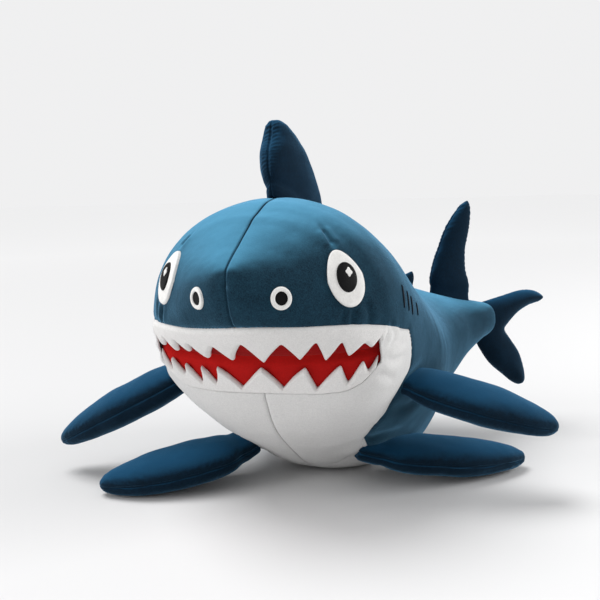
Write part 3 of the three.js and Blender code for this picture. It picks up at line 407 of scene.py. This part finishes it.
CREASES = [  # in (bearing, height): line, depth, half width
    ([(-46.5, 262), (-47.5, 252)], 1.6, 2.6), ([(-49, 197), (-50, 190), (-50.5, 184)], 2.0, 2.4),
    ([(46.0, 266), (47.5, 252)], 1.8, 2.8), ([(51, 197), (50, 191), (50.5, 184)], 1.8, 2.4),
    ([(47.5, 199), (45.5, 191), (46, 186)], 1.3, 2.4), ([(57, 203), (58.5, 192), (58, 184)], 1.5, 3.0),
    ([(-56, 203), (-57, 192), (-57, 185)], 1.2, 3.0),
    ([(67, 160), (73, 163), (79, 162)], 1.5, 3.0), ([(67, 148), (74, 145), (82, 147)], 1.7, 3.2), ([(65, 136), (72, 130), (77, 126)], 1.1, 3.4),
    ([(-67, 160), (-73, 163), (-79, 162)], 1.5, 3.0), ([(-67, 148), (-74, 145), (-82, 147)], 1.7, 3.2), ([(-65, 136), (-72, 130), (-77, 126)], 1.1, 3.4),
    ([(69, 182), (71.5, 172), (69.5, 163)], 1.4, 2.2), ([(-69, 182), (-71.5, 172), (-69.5, 163)], 1.4, 2.2),
]

def skin_offset(P, S, XL):
    """How far the sewn, stuffed skin stands off the plain loft."""
    ph, z = phi_of(P), P[:, 2]
    W = np.minimum(lip_z(ph) - z, cheek_y(z) - P[:, 1])
    o = groove(np.abs(XL), 1.2, 1.1, 0.6, 7.0) * np.where(S > 330, np.clip((356 - S) / 26, 0, 1), 1)
    o += groove(np.abs(W), 1.2, 1.6, 0.6, 6.0)
    hw = np.interp(S, [b[0] for b in BELLY], [b[1] for b in BELLY], left=-99, right=-99)
    B = np.where(z < 90, np.abs(hw - np.abs(XL)), 99)
    o += groove(B, 1.0, 1.6, 0.5, 6.0) * (W < 0)
    o += 0.8 * vnoise(P, 0.018, 3.1) + 0.35 * vnoise(P, 0.055, 9.7) + 0.10 * vnoise(P, 0.16, 5.2)
    near = (P[:, 1] < 40)
    x = ph * R0
    for line, deep, w in CREASES:
        d, t = polydist(x, z, [(a * R0, b) for a, b in line])
        fade = np.clip(np.minimum(t, 1 - t) * 4 + 0.35, 0, 1)
        o -= np.where(near, deep * fade * (np.exp(-(d / w) ** 2) - 0.45 * np.exp(-((d - 2.2 * w) / (1.4 * w)) ** 2)), 0)
    for sg in (-1, 1):   # pulled in a little behind the fins' roots
        for fy, fz, fx in ((31, 106, 118), (44, 38, 72)):
            d = np.sqrt(((P[:, 1] - fy) / 34) ** 2 + ((z - fz) / 20) ** 2 + ((P[:, 0] - sg * fx) / 40) ** 2)
            o -= 2.2 * np.exp(-((d - 1.0) / 0.35) ** 2) * (d > 0.2)
    edge = np.clip(z / 6.0, 0, 1)
    return o * edge

BO = skin_offset(BV, BS, BX)
BD = BV + BN * BO[:, None]
SKIN = bvh(BD, BF)

W_all = np.minimum(lip_z(phi_of(BV)) - BV[:, 2], cheek_y(BV[:, 2]) - BV[:, 1])
hw = np.interp(BS, [b[0] for b in BELLY], [b[1] for b in BELLY])
hw = np.where((BS < 5) | (BS > 250), np.minimum(BS - 5, 250 - BS), np.minimum(hw - np.abs(BX), np.minimum(BS - 5, 250 - BS)))
B_all = np.minimum(hw, 90 - BV[:, 2])
A_all = {"W": W_all, "B": B_all, "S": BS, "X": BX, "O": BO, "N": BN}

def part(name, tests, mat, t=2.0):
    V, F, A = BV, BF, A_all
    for test in tests:
        V, F, A = clip(V, F, A, test(V, A))
    N = A["N"] / np.linalg.norm(A["N"], axis=1, keepdims=True)
    D = V + N * A["O"][:, None]
    N2 = vnormals(D, F)
    V2, F2 = thicken(D, F, N2, t)
    V2[:, 2] = np.maximum(V2[:, 2], 0.05)
    return piece(name, V2, F2, mat)

def mouth_patch(V, A):
    ph, z = phi_of(V), V[:, 2]
    inside = np.minimum(np.minimum(z - lseam_z(ph), (65 - np.abs(ph)) * R0), 110 - np.abs(V[:, 0]) + 0 * z)
    return np.where(V[:, 1] < 20, -inside, 50.0)

for side, sg in (("left", 1), ("right", -1)):
    ob = part("blue_body_" + side, [lambda V, A: sg * A["X"], lambda V, A: -A["W"], lambda V, A: -A["B"]], BLUE)
    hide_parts("body_skin_" + side, "tail_skin_" + side, *(["body_stuffing"] if sg > 0 else ["tail_stuffing"]))
    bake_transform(ob)
    ob = part("white_jaw_" + side, [lambda V, A: sg * A["X"], lambda V, A: A["W"], mouth_patch], WHITE)
    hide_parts("jaw_skin_" + side)
    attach(ob, "torso")
ob = part("white_belly", [lambda V, A: A["B"], lambda V, A: -A["W"]], WHITE)
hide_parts("belly_panel")
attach(ob, "torso")

# ---------------------------------------------------------------- the mouth
def band(name, ph, z_top, z_bot, rows, outer, inner, mat):
    """A thick strip on the head between two border lines; outer and inner give its offsets."""
    v = 0.5 - 0.5 * np.cos(np.linspace(0, 1, rows) * np.pi)
    v = 0.35 * np.linspace(0, 1, rows) + 0.65 * v
    PH = np.repeat(ph[None, :], rows, 0)
    Z = z_top[None, :] * (1 - v[:, None]) + z_bot[None, :] * v[:, None]
    P, N = on_skin(PH.reshape(-1), Z.reshape(-1))
    n = len(ph)
    NG = vnormals(P, grid_faces(rows, n))
    if (NG * N).sum() < 0:
        NG = -NG
    o = outer(PH.reshape(-1), Z.reshape(-1)); i = inner(PH.reshape(-1), Z.reshape(-1))
    Vo, Vi = P + NG * o[:, None], P + NG * i[:, None]
    F = grid_faces(rows, n)
    fn = np.cross(Vo[F[:, 1]] - Vo[F[:, 0]], Vo[F[:, 2]] - Vo[F[:, 0]])
    if (fn * NG[F[:, 0]]).sum() < 0:
        F = F[:, ::-1]
    m = rows * n
    E = np.concatenate([F[:, [0, 1]], F[:, [1, 2]], F[:, [2, 0]]])
    key, rev = E[:, 0] * m + E[:, 1], E[:, 1] * m + E[:, 0]
    edge = E[~np.isin(key, rev)]
    F2 = np.concatenate([F, F[:, ::-1] + m, np.stack([edge[:, 0], edge[:, 0] + m, edge[:, 1] + m], 1),
                         np.stack([edge[:, 0], edge[:, 1] + m, edge[:, 1]], 1)])
    return piece(name, np.concatenate([Vo, Vi]), F2, mat), Vo

NPH = 360
def edge_round(d, r):
    return np.sqrt(np.clip(1 - (1 - np.clip(d / r, 0, 1)) ** 2, 0, 1))

PHM = 67.0
ph = np.linspace(-PHM, PHM, NPH)
zt = lip_z(ph) + 0.2
zb = up_z(np.clip(ph, -65, 65))
zb = np.where(np.abs(ph) > 63.5, np.minimum(zb, 164 + 11 * np.clip((np.abs(ph) - 63.5) / (PHM - 63.5), 0, 1) ** 2), zb)
zb = np.minimum(zb, zt - 3)
UPX = [(a * R0, b) for a, b in zip(ph, zb)]
LIPX = [(a * R0, b) for a, b in zip(ph[::4], zt[::4])]
def up_outer(p, z):
    x = p * R0
    d, _ = polydist(x, z, UPX)
    e, _ = polydist(x, z, LIPX)
    side = np.clip((PHM - np.abs(p)) * R0, 0, 99)
    o = -1.9 + 4.6 * edge_round(d, 7.5)
    o = np.minimum(o, -1.5 + 4.2 * edge_round(e, 9.0))
    o = np.minimum(o, -1.5 + 3.4 * edge_round(side, 4.0))
    return o + 0.5 * vnoise(np.stack([x, z, 0 * x], 1), 0.05, 2.2) * edge_round(d, 8)
ob, _ = band("upper_lip", ph, zt, zb, 34, up_outer, lambda p, z: np.full(p.shape, -3.0), TOOTH)
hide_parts("upper_lip_teeth"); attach(ob, "torso")

ph = np.linspace(-63.6, 63.6, NPH)
zb = lseam_z(ph) - 0.3
zt = np.maximum(low_z(ph), zb + 3)
LOWX = [(a * R0, b) for a, b in zip(ph, zt)]
SEAMX = [(a * R0, b) for a, b in zip(ph[::3], zb[::3])]
def low_outer(p, z):
    x = p * R0
    d, _ = polydist(x, z, LOWX)
    e, _ = polydist(x, z, SEAMX)
    side = np.clip((63.6 - np.abs(p)) * R0, 0, 99)
    o = -2.3 + 4.8 * edge_round(d, 7.0)
    o = np.minimum(o, -1.8 + 3.8 * edge_round(e, 5.0))
    o = np.minimum(o, -2.4 + 3.6 * edge_round(side, 3.5))
    return o
ob, _ = band("lower_teeth", ph, zt, zb, 26, low_outer, lambda p, z: np.full(p.shape, -3.4), TOOTH)
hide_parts("lower_teeth_strip"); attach(ob, "torso")

for nm, up in (("upper", True), ("lower", False)):
    ph = np.linspace(-68.5, 68.5, 150)
    f = fold_z(ph)
    top = np.minimum(lip_z(ph) - 4, 181) if up else f
    bot = f if up else np.maximum(np.minimum(lseam_z(np.clip(ph, -64, 64)) + 3 - 8 * np.clip((np.abs(ph) - 57) / 5, 0, 1), f - 4), 108)
    def outer(p, z):
        fz = fold_z(p); d = np.abs(z - fz)
        near = np.clip((68.5 - np.abs(p)) / 14, 0, 1)
        o = -3.6 - (7.0 * np.exp(-(d / 3.2) ** 2) + 4.0 * np.exp(-(d / 10.0) ** 2)) * (0.25 + 0.75 * near)
        return o + 0.5 * vnoise(np.stack([p * R0, z, 0 * z], 1), 0.05, 7.7)
    ob, _ = band("mouth_lining_red_" + nm, ph, top, bot, 22, outer, lambda p, z: outer(p, z) - 1.6, RED)
    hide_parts("mouth_lining_" + nm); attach(ob, "torso")

# --------------------------------------------------------- felt on the head
def skin_frame(deg, z):
    f = lambda d, h: on_skin(np.array([float(d)]), np.array([float(h)]))[0][0]
    un = lambda v: v / np.linalg.norm(v)
    p, u, v = f(deg, z), un(f(deg + 3, z) - f(deg - 3, z)), un(f(deg, z + 4) - f(deg, z - 4))
    n = un(np.cross(u, v))
    return p, u, un(np.cross(n, u)), n

def drape(fr, q):
    p, u, v, n = fr
    out, D = np.zeros((len(q), 3)), Vector(-n)
    for i, (a, b) in enumerate(q):
        o = p + u * a + v * b + n * 45
        h = SKIN.ray_cast(Vector(o), D)[0]
        out[i] = h if h is not None else p + u * a + v * b
    return out

def oval(a, b, n, tilt=0.0, point=0.0):
    t = np.arange(n) / n * 2 * np.pi
    x = a * np.cos(t) * (1 - point * np.maximum(0, np.sin(t))); y = b * np.sin(t)
    return np.stack([x * math.cos(tilt) - y * math.sin(tilt), x * math.sin(tilt) + y * math.cos(tilt)], 1)

def applique(name, fr, pts, lift, thick, mat, r_in=0.0, rings=14, crown=0.0, round_at=1.6, stitch=0.0):
    """A disc, or ring, of felt laid on the skin with rounded edges."""
    n, c = len(pts), pts.mean(0)
    size = np.linalg.norm(pts - c, axis=1).mean()
    rr = np.linspace(r_in, 1, rings) if r_in else np.linspace(0.06, 1, rings)
    edge = 1 - round_at / size
    extra = [edge + (1 - edge) * k for k in (0.35, 0.6, 0.8, 0.93)]
    if r_in:
        extra += [r_in + (1 - edge) * k for k in (0.07, 0.2, 0.4, 0.65)]
    rr = np.array(sorted(set(np.round(np.concatenate([rr, extra]), 5))))
    G, H = [], []
    for r in rr:
        q = c + (pts - c) * r
        base = drape(fr, q)
        d = (1 - r) * size
        h = thick * edge_round(np.array([d]), round_at)[0]
        if r_in:
            h = min(h, thick * edge_round(np.array([(r - r_in) * size]), round_at)[0])
        h += crown * (1 - r * r)
        if stitch:
            h -= stitch * math.exp(-((d - round_at * 1.1) / 0.55) ** 2)
        G.append(base + fr[3] * (lift + h))
        H.append(base + fr[3] * (lift - 0.5))
    R = len(rr)
    V = np.concatenate([np.concatenate(G), np.concatenate(H)])
    F = grid_faces(R, n, True); m = R * n
    fl = [F, F[:, ::-1] + m]
    k = np.arange(n); o = (R - 1) * n
    fl += [np.stack([o + k, o + m + k, o + m + (k + 1) % n], 1), np.stack([o + k, o + m + (k + 1) % n, o + (k + 1) % n], 1)]
    if r_in:
        fl += [np.stack([k, m + (k + 1) % n, m + k], 1), np.stack([k, (k + 1) % n, m + (k + 1) % n], 1)]
    else:
        V = np.concatenate([V, [G[0].mean(0), H[0].mean(0)]])
        fl += [np.stack([np.full(n, 2 * m), (k + 1) % n, k], 1), np.stack([np.full(n, 2 * m + 1), m + k, m + (k + 1) % n], 1)]
    F = np.concatenate(fl)
    a, b, c3 = V[F[:, 0]], V[F[:, 1]], V[F[:, 2]]
    if (a * np.cross(b, c3)).sum() < 0:
        F = F[:, ::-1]
    return piece(name, V, F, mat)

for side, sg in (("left", 1), ("right", -1)):
    eye = skin_frame(49 if sg > 0 else -46.5, 224.5)
    ob = applique("felt_eye_" + side, eye, oval(17.4, 25.8, 96, sg * 0.18, 0.28), 0.3, 2.3, FELT, rings=20, crown=0.8, stitch=0.35)
    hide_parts("eye_white_" + side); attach(ob, "torso")
    ob = applique("felt_pupil_" + side, eye, oval(9.6, 13.4, 72), 2.9, 1.5, BLACK, rings=12, crown=0.5, round_at=1.2)
    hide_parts("eye_pupil_" + side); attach(ob, "torso")
    g = oval(2.8, 3.8, 40); g = g * (1 + 0.16 * np.cos(4 * np.arange(40) / 40 * 2 * np.pi + 0.5))[:, None] + np.array([2, 4])
    ob = applique("felt_glint_" + side, eye, g, 4.6, 0.8, FELT, rings=6, round_at=0.6)
    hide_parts("eye_glint_" + side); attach(ob, "torso")
    nos = skin_frame(20 if sg > 0 else -14.5, 212)
    ob = applique("felt_nostril_" + side, nos, oval(9.1, 9.9, 72), 0.2, 2.0, FELT, r_in=0.58, rings=8, round_at=1.3)
    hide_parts("nostril_ring_" + side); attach(ob, "torso")
    ob = applique("felt_nostril_centre_" + side, nos, oval(5.8, 6.2, 48), 0.2, 1.0, BLACK, rings=6, round_at=0.8)
    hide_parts("nostril_centre_" + side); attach(ob, "torso")
    for i, (deg, z, h) in enumerate([(82, 201, 11), (86.5, 195.5, 9.5), (91, 190, 9), (98.5, 184, 6.5)]):
        fr = skin_frame(sg * deg, z)
        q = oval(1.15, h, 40, -sg * 0.34)
        ob = applique(f"stitched_gill_{side}_{i + 1}", fr, q, 0.15, 0.9, THREAD, rings=5, round_at=0.7)
        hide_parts(f"gill_slit_{side}_{i + 1}"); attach(ob, "torso")

# --------------------------------------------------------------------- fins
D2R = math.pi / 180
unit = lambda v: np.asarray(v, float) / np.linalg.norm(v)

def frame3(o, u, w):
    U = unit(u); V = unit(np.cross(w, U)); W = np.cross(U, V)
    return dict(o=np.array(o, float), U=U, V=V, W=W, slope=0.0, L=1.0)

def fin_mesh(f, rows, embed, nu, na, shrink=1.0, dc=0.0):
    rows = np.array(rows, float); L = rows[-1, 0]
    t = np.linspace(0, 1, nu)
    us = -embed + (L + embed) * (1 - (1 - t) ** 1.35)
    T = pchip(rows, us)
    # denser round the seam at both edges
    k = np.arange(na) / na * 2 * np.pi
    a = k - 0.42 * np.sin(2 * k) / 1.0 * 0.9
    v0, c, h, w0 = (T[:, i][:, None] for i in range(4))
    c, h = np.maximum(c - dc, 0.6), np.maximum(h * shrink, 0.5)
    s, co = np.sin(a)[None], np.cos(a)[None]
    V = v0 + c * co
    Wd = w0 + h * np.sign(s) * np.abs(s) ** 0.9
    fade = np.maximum(0, 1 - us / L)[:, None]
    Uu = us[:, None] + f["slope"] * V * fade
    P = f["o"] + Uu[..., None] * f["U"] + V[..., None] * f["V"] + Wd[..., None] * f["W"]
    P = P.reshape(-1, 3)
    F = grid_faces(nu, na, True)
    n = len(P)
    P = np.concatenate([P, [P[:na].mean(0), P[(nu - 1) * na:nu * na].mean(0)]])
    j = np.arange(na)
    F = np.concatenate([F, np.stack([np.full(na, n), (j + 1) % na, j], 1),
                        np.stack([np.full(na, n + 1), (nu - 1) * na + j, (nu - 1) * na + (j + 1) % na], 1)])
    A = np.concatenate([np.tile(a, nu), [0, 0]]); UU = np.concatenate([np.repeat(us, na), [us[0], us[-1]]])
    vol = (P[F[:, 0]] * np.cross(P[F[:, 1]], P[F[:, 2]])).sum()
    if vol < 0:
        F = F[:, ::-1]
    return P, F, A, UU, (Wd.reshape(-1), V.reshape(-1))

def cloth(P, F, pin, cap=9.0, voxel=4.5, pressure=4.0, frames=20):
    """Stuffed like a cushion: a copy is remeshed and inflated, and the fine mesh is laid on it."""
    me = bpy.data.meshes.new("sim"); me.from_pydata((P * MM).tolist(), [], [tuple(int(i) for i in f) for f in F]); me.update()
    ob = bpy.data.objects.new("sim", me); bpy.context.scene.collection.objects.link(ob)
    bpy.context.view_layer.objects.active = ob
    md = ob.modifiers.new("r", "REMESH"); md.mode = "VOXEL"; md.voxel_size = voxel * MM
    dg = bpy.context.evaluated_depsgraph_get()
    m2 = bpy.data.meshes.new_from_object(ob.evaluated_get(dg)); ob.modifiers.clear(); ob.data = m2
    start = np.array([v.co[:] for v in m2.vertices]) / MM
    vg = ob.vertex_groups.new(name="pin")
    held = np.nonzero(pin(start))[0].tolist()
    if held:
        vg.add(held, 1.0, "REPLACE")
    cl = ob.modifiers.new("c", "CLOTH"); st = cl.settings
    st.quality = 5; st.mass = 0.3; st.air_damping = 2.0
    st.tension_stiffness = 12; st.compression_stiffness = 12; st.shear_stiffness = 6; st.bending_stiffness = 0.35
    st.use_pressure = True; st.uniform_pressure_force = pressure; st.effector_weights.gravity = 0.0
    if held:
        st.vertex_group_mass = "pin"
    cl.collision_settings.use_collision = False
    cl.point_cache.frame_start, cl.point_cache.frame_end = 1, frames
    sc = bpy.context.scene
    for fr in range(1, frames + 1):
        sc.frame_set(fr)
    dg = bpy.context.evaluated_depsgraph_get()
    m3 = bpy.data.meshes.new_from_object(ob.evaluated_get(dg))
    end = np.array([v.co[:] for v in m3.vertices]) / MM
    faces = [tuple(p.vertices) for p in m3.polygons]
    sc.frame_set(1)
    bpy.data.objects.remove(ob)
    mv = end - start; d = np.linalg.norm(mv, axis=1, keepdims=True)
    end = start + mv * np.minimum(1, cap / np.maximum(d, 1e-9))
    return BVHTree.FromPolygons(end.tolist(), faces)

def fin(name, f, rows, nodes, embed=10.0, nu=70, na=120, floor=False, sim=True, seam_deep=1.3):
    P, F, A, UU, _ = fin_mesh(f, rows, embed, nu, na)
    N = vnormals(P, F)
    if sim:
        Q, F0, *_ = fin_mesh(f, rows, embed, 40, 48, shrink=0.94, dc=0.8)
        tree = cloth(Q, F0, lambda X: (X - f["o"]) @ f["U"] < 4)
        new = P.copy()
        for i in range(len(P)):
            hit = tree.ray_cast(Vector(P[i] + N[i] * 14), Vector(-N[i]), 30)
            if hit[0] is None:
                hit = tree.find_nearest(Vector(P[i]))
            new[i] = hit[0]
        w = np.clip((UU + embed) / (embed + 4), 0, 1)[:, None]
        P = P * (1 - w) + new * w
        # even out the projection
        nb = np.zeros((len(P), 3)); cnt = np.zeros(len(P))
        for _ in range(2):
            nb[:] = 0; cnt[:] = 0
            for a, b in ((0, 1), (1, 2), (2, 0)):
                np.add.at(nb, F[:, a], P[F[:, b]]); np.add.at(cnt, F[:, a], 1)
            P = P * 0.5 + nb / cnt[:, None] * 0.5
        N = vnormals(P, F)
    L = rows[-1][0]
    # seam round the edge: a groove with the cloth gathered into it
    T = pchip(np.array(rows, float), np.clip(UU, 0, L)); c, h = T[:, 1], T[:, 2]
    edge = np.minimum(np.abs(np.angle(np.exp(1j * A))), np.abs(np.angle(np.exp(1j * (A - np.pi)))))
    d = edge * np.maximum(h, 3)
    o = groove(d, seam_deep, 1.3, 0.9, 6.0)
    gather = np.cos(UU / 5.2 * 2 * np.pi + 2.2 * vnoise(P, 0.05, 1.3) * 3)
    o += 0.30 * gather * np.exp(-((d - 5) / 4.5) ** 2)
    o += 0.9 * vnoise(P, 0.028, 4.4) + 0.4 * vnoise(P, 0.07, 8.1)
    root = np.exp(-((UU - 2) / 5.0) ** 2)
    o -= 1.0 * root
    o *= np.clip((L + 2 - UU) / 10, 0.15, 1)
    P = P + N * o[:, None]
    if floor:
        P[:, 2] = np.where(P[:, 2] < 3, 0.15 + 2.85 * np.exp((P[:, 2] - 3) / 2.85), P[:, 2])
    ob = piece(name, P, F, BLUE_FIN_SHADED)
    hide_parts(*nodes)
    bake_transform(ob)
    return ob

DORS = [[0, 0, 64, 16, 0], [9.4, -1.6, 63, 18, 0], [26.4, -6.5, 56, 21.5, 0], [47.2, -13, 43.6, 21, 0], [64.2, -18.7, 28.5, 17, 0],
        [77.4, -23.6, 17.5, 12.5, 0], [84, -26.5, 11.5, 8.5, 0], [87.5, -27.8, 5.5, 4.5, 0], [88.7, -28.1, 1.5, 1.5, 0]]
f = frame3([0, 46, 278.5], [-0.12, 0, 0.993], [-0.993, 0, -0.12]); f["slope"] = -0.44
fin("dorsal_fin", f, DORS, ["dorsal_fin_left_panel", "dorsal_fin_right_panel", "dorsal_fin_stuffing"],
    embed=22)

PEC = [[-30, 0, 28, 13, 0], [0, 0, 30, 18, 0], [20, 0, 35, 21, 0], [45, 2, 38, 23, 0], 
       [80, 6, 37.5, 23, 0], [112, 12, 32, 20.5, -1], [135, 16, 25, 17, -2], [150, 19, 18, 13, -3], [159, 21, 11, 8.5, -3.5], [162.5, 21.7, 6, 5, -3.8], [164, 22, 1.5, 1.5, -4]]
LOWR = [[-34, 10, 21, 12, 2], [0, 4, 29.5, 16.5, 0], [18, 0, 37, 20, 0], [42, 2, 40, 22, 0], 
        [78, 6, 38.5, 22, -1], [104, 10, 33, 19, -1], [124, 14, 25, 15.5, -1], [137, 17, 17, 11.5, -1], [145, 19, 9.5, 7, -1], [147, 19.7, 5, 4.2, -1], [148, 20, 1.5, 1.5, -1]]
for name, o, to, L, fat in (("pectoral_fin_left", [119, 31, 111], [257, 25, 70.5], 141, 0.84), ("pectoral_fin_right", [-122, 32, 111], [-268, -13, 34], 169, 0.91),
                            ("lower_fin_left", [76, 52, 32], [223, 115, 12], 160, 0.88), ("lower_fin_right", [-68, 26, 32], [-165, -65, 12], 143, 0.96)):
    low = name.startswith("lower")
    U = unit(np.array(to, float) - np.array(o))
    f = frame3(o, U, [-U[0] * U[2], -U[1] * U[2], 1 - U[2] ** 2])
    if f["V"][1] < 0:
        f["V"] = -f["V"]
    rows = [[r[0] if r[0] <= 0 else r[0] * L / (148 if low else 164), r[1], r[2], r[3] * fat, r[4]] for r in (LOWR if low else PEC)]
    fin(name, f, rows, [f"{name}_{k}" for k in ("top_panel", "bottom_panel", "stuffing")],
        embed=24, floor=low)

X, Y, a = (float(v) for v in spine(297))
RD = [[0, 0, 28, 9.5, 0], [7.7, 0, 28.5, 10.8, 0], [26.8, -1, 24.2, 12, 0], [52.7, 3, 19.8, 11.4, 0], [76.6, 10.5, 17.2, 10.8, 0],
      [93.9, 17.5, 12.8, 8.5, 0], [104.4, 22, 8, 6, 0], [108, 24, 4, 3.4, 0], [109.2, 24.5, 1.5, 1.5, 0]]
f = frame3([X, Y, 166], [0, 0, 1], [-math.cos(a), math.sin(a), 0]); f["slope"] = -0.25
fin("rear_dorsal_fin", f, RD, ["rear_dorsal_fin_left_panel", "rear_dorsal_fin_right_panel", "rear_dorsal_fin_stuffing"],
    embed=16, nu=60, na=96)

for nm, s0, xl, z0, U, W in (("top", 238, 0, 183.5, "up", None), ("left", 232, 80.5, 64.5, "side", 1), ("right", 232, -80.5, 64.5, "side", -1)):
    X, Y, a = (float(v) for v in spine(s0))
    o = place(np.array(s0), xl, z0)
    side_v = np.array([math.cos(a), -math.sin(a), 0.0])
    if nm == "top":
        f = frame3(o, [0.25 * math.sin(a), 0.25 * math.cos(a), 0.97], side_v)
    else:
        f = frame3(o, side_v * W * 0.92 + np.array([0.25 * math.sin(a), 0.25 * math.cos(a), -0.3]), [0, 0, 1])
    rows = [[0, 0, 9.5, 4, 0], [4, 1, 8.5, 4, 0], [9, 3, 5.5, 3, 0], [12, 4.5, 2.6, 1.6, 0], [13.5, 5, 0.8, 0.6, 0]]
    if np.dot(f["V"], [math.sin(a), math.cos(a), 0]) < 0:
        f["V"] = -f["V"]
    P, F, A, UU, _ = fin_mesh(f, rows, 7, 22, 40)
    ob = piece("small_finlet_" + nm, P, F, BLUE_FIN_SHADED)
    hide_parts("finlet_" + nm)
    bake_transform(ob)

# caudal fin
def caudal():
    X, Y, a = (float(v) for v in spine(334))
    U, Nn = np.array([math.sin(a), math.cos(a), 0]), np.array([math.cos(a), -math.sin(a), 0])
    C = [(-22, 146), (0, 150), (9, 152), (34, 157), (60, 162), (80, 160), (93, 152), (87, 146), (71, 142), (55, 134), (41, 121), (38, 115), (46, 103),
         (58, 85), (65, 64), (66, 50), (60, 44), (49, 48), (34, 60), (16, 76), (2, 96), (-6, 110), (-22, 116)]
    C = np.array(C, float)
    # closed smooth outline
    pts = []
    n = len(C)
    for i in range(n):
        p0, p1, p2, p3 = C[i - 1], C[i], C[(i + 1) % n], C[(i + 2) % n]
        for t in np.linspace(0, 1, 8, endpoint=False):
            pts.append(0.5 * (2 * p1 + (p2 - p0) * t + (2 * p0 - 5 * p1 + 4 * p2 - p3) * t * t + (3 * p1 - p0 - 3 * p2 + p3) * t ** 3))
    O = np.array(pts)
    g = 2.0
    D, Z = np.meshgrid(np.arange(-26, 100, g), np.arange(30, 172, g), indexing="ij")
    P2 = np.stack([D.reshape(-1), Z.reshape(-1)], 1)
    ring = np.concatenate([O, O[:1]])
    def sdf(Q):
        d, _ = polydist(Q[:, 0], Q[:, 1], [tuple(p) for p in ring])
        inside = np.zeros(len(Q), bool)
        for (ax, ay), (bx, by) in zip(ring[:-1], ring[1:]):
            c = (ay > Q[:, 1]) != (by > Q[:, 1])
            xi = ax + (Q[:, 1] - ay) / (by - ay + 1e-12) * (bx - ax)
            inside ^= c & (Q[:, 0] < xi)
        return np.where(inside, d, -d)
    V0 = np.concatenate([P2, np.zeros((len(P2), 1))], 1)
    F0 = grid_faces(D.shape[0], D.shape[1])
    V1, F1, A1 = clip(V0, F0, {}, sdf(P2))
    d = np.maximum(sdf(V1[:, :2]), 0)
    T = 12.5 * (0.62 + 0.38 * np.clip((V1[:, 0] + 4) / 30, 0, 1))
    th = T * edge_round(d, 19) ** 1.15
    th[d < 0.3] = 0
    V2 = np.concatenate([np.stack([V1[:, 0], V1[:, 1], th], 1), np.stack([V1[:, 0], V1[:, 1], -th], 1)])
    F2 = np.concatenate([F1, F1[:, ::-1] + len(V1)])
    first, F2 = weld(V2, F2, 0.01)
    V2 = V2[first]
    P = np.array([X, Y, 0]) + V2[:, :1] * U + V2[:, 2:] * Nn + np.array([0, 0, 1.0]) * V2[:, 1:2]
    vol = (P[F2[:, 0]] * np.cross(P[F2[:, 1]], P[F2[:, 2]])).sum()
    if vol < 0:
        F2 = F2[:, ::-1]
    N = vnormals(P, F2)
    dd = np.concatenate([d, d])[first]
    o = groove(dd, 0.6, 1.8, 0.0) + 0.8 * vnoise(P, 0.03, 6.6) + 0.35 * vnoise(P, 0.08, 2.9)
    P = P + N * (o * np.clip(dd / 4, 0.2, 1))[:, None]
    ob = piece("caudal_fin", P, F2, BLUE_FIN_SHADED)
    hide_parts("caudal_fin_left_panel", "caudal_fin_right_panel", "caudal_fin_stuffing")
    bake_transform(ob)
caudal()

# ------------------------------------------------------------------- studio
def floor():
    me = bpy.data.meshes.new("floor")
    s = 8.0
    me.from_pydata([(-s, -s, 0), (s, -s, 0), (s, s, 0), (-s, s, 0)], [], [(0, 1, 2, 3)])
    ob = bpy.data.objects.new("floor", me)
    bpy.context.scene.collection.objects.link(ob)
    m, nt, b = nodes_of("floor_pale")
    tc = add(nt, "ShaderNodeTexCoord"); ln = add(nt, "ShaderNodeVectorMath", operation="LENGTH")
    mr = add(nt, "ShaderNodeMapRange"); mr.inputs["From Min"].default_value, mr.inputs["From Max"].default_value = 0.5, 3.0
    # painted shade: the floor is darker near the middle, evening out the extra light the area lamps throw there
    r = ramp(nt, [(0.0, (0.70, 0.70, 0.705)), (0.3, (0.745, 0.745, 0.75)), (1.0, (0.845, 0.845, 0.85))])
    nt.links.new(tc.outputs["Object"], ln.inputs[0]); nt.links.new(ln.outputs["Value"], mr.inputs["Value"])
    nt.links.new(mr.outputs["Result"], r.inputs["Fac"]); nt.links.new(r.outputs["Color"], b.inputs["Base Color"])
    b.inputs["Roughness"].default_value = 0.9
    me.materials.append(m)
floor()

def area(name, loc, target, size, power, color=(1, 1, 1)):
    l = bpy.data.lights.new(name, "AREA"); l.shape = "DISK"; l.size = size; l.energy = power; l.color = color
    ob = bpy.data.objects.new(name, l); bpy.context.scene.collection.objects.link(ob)
    ob.location = loc
    d = Vector(target) - Vector(loc)
    ob.rotation_euler = d.to_track_quat("-Z", "Y").to_euler()
sun = bpy.data.lights.new("overhead", "SUN"); sun.energy = 2.1; sun.angle = rad(38)
sob = bpy.data.objects.new("overhead", sun); bpy.context.scene.collection.objects.link(sob)
sob.rotation_euler = Vector((0.42, -0.10, -1.0)).to_track_quat("-Z", "Y").to_euler()
area("front", (-1.9, -1.7, 1.0), (0, -0.1, 0.12), 1.6, 27)
area("right", (1.9, 0.5, 0.9), (0.05, 0, 0.12), 1.2, 26)
w = bpy.data.worlds.new("studio"); bpy.context.scene.world = w
w.use_nodes = True
nt = w.node_tree
bg = nt.nodes["Background"]
bg.inputs["Color"].default_value = (1, 1, 1, 1)
bg.inputs["Strength"].default_value = 0.42
seen = nt.nodes.new("ShaderNodeBackground"); seen.inputs["Color"].default_value = (0.870, 0.870, 0.875, 1)
lp = nt.nodes.new("ShaderNodeLightPath"); mx = nt.nodes.new("ShaderNodeMixShader")
nt.links.new(lp.outputs["Is Camera Ray"], mx.inputs[0]); nt.links.new(bg.outputs[0], mx.inputs[1])
nt.links.new(seen.outputs[0], mx.inputs[2]); nt.links.new(mx.outputs[0], nt.nodes["World Output"].inputs["Surface"])

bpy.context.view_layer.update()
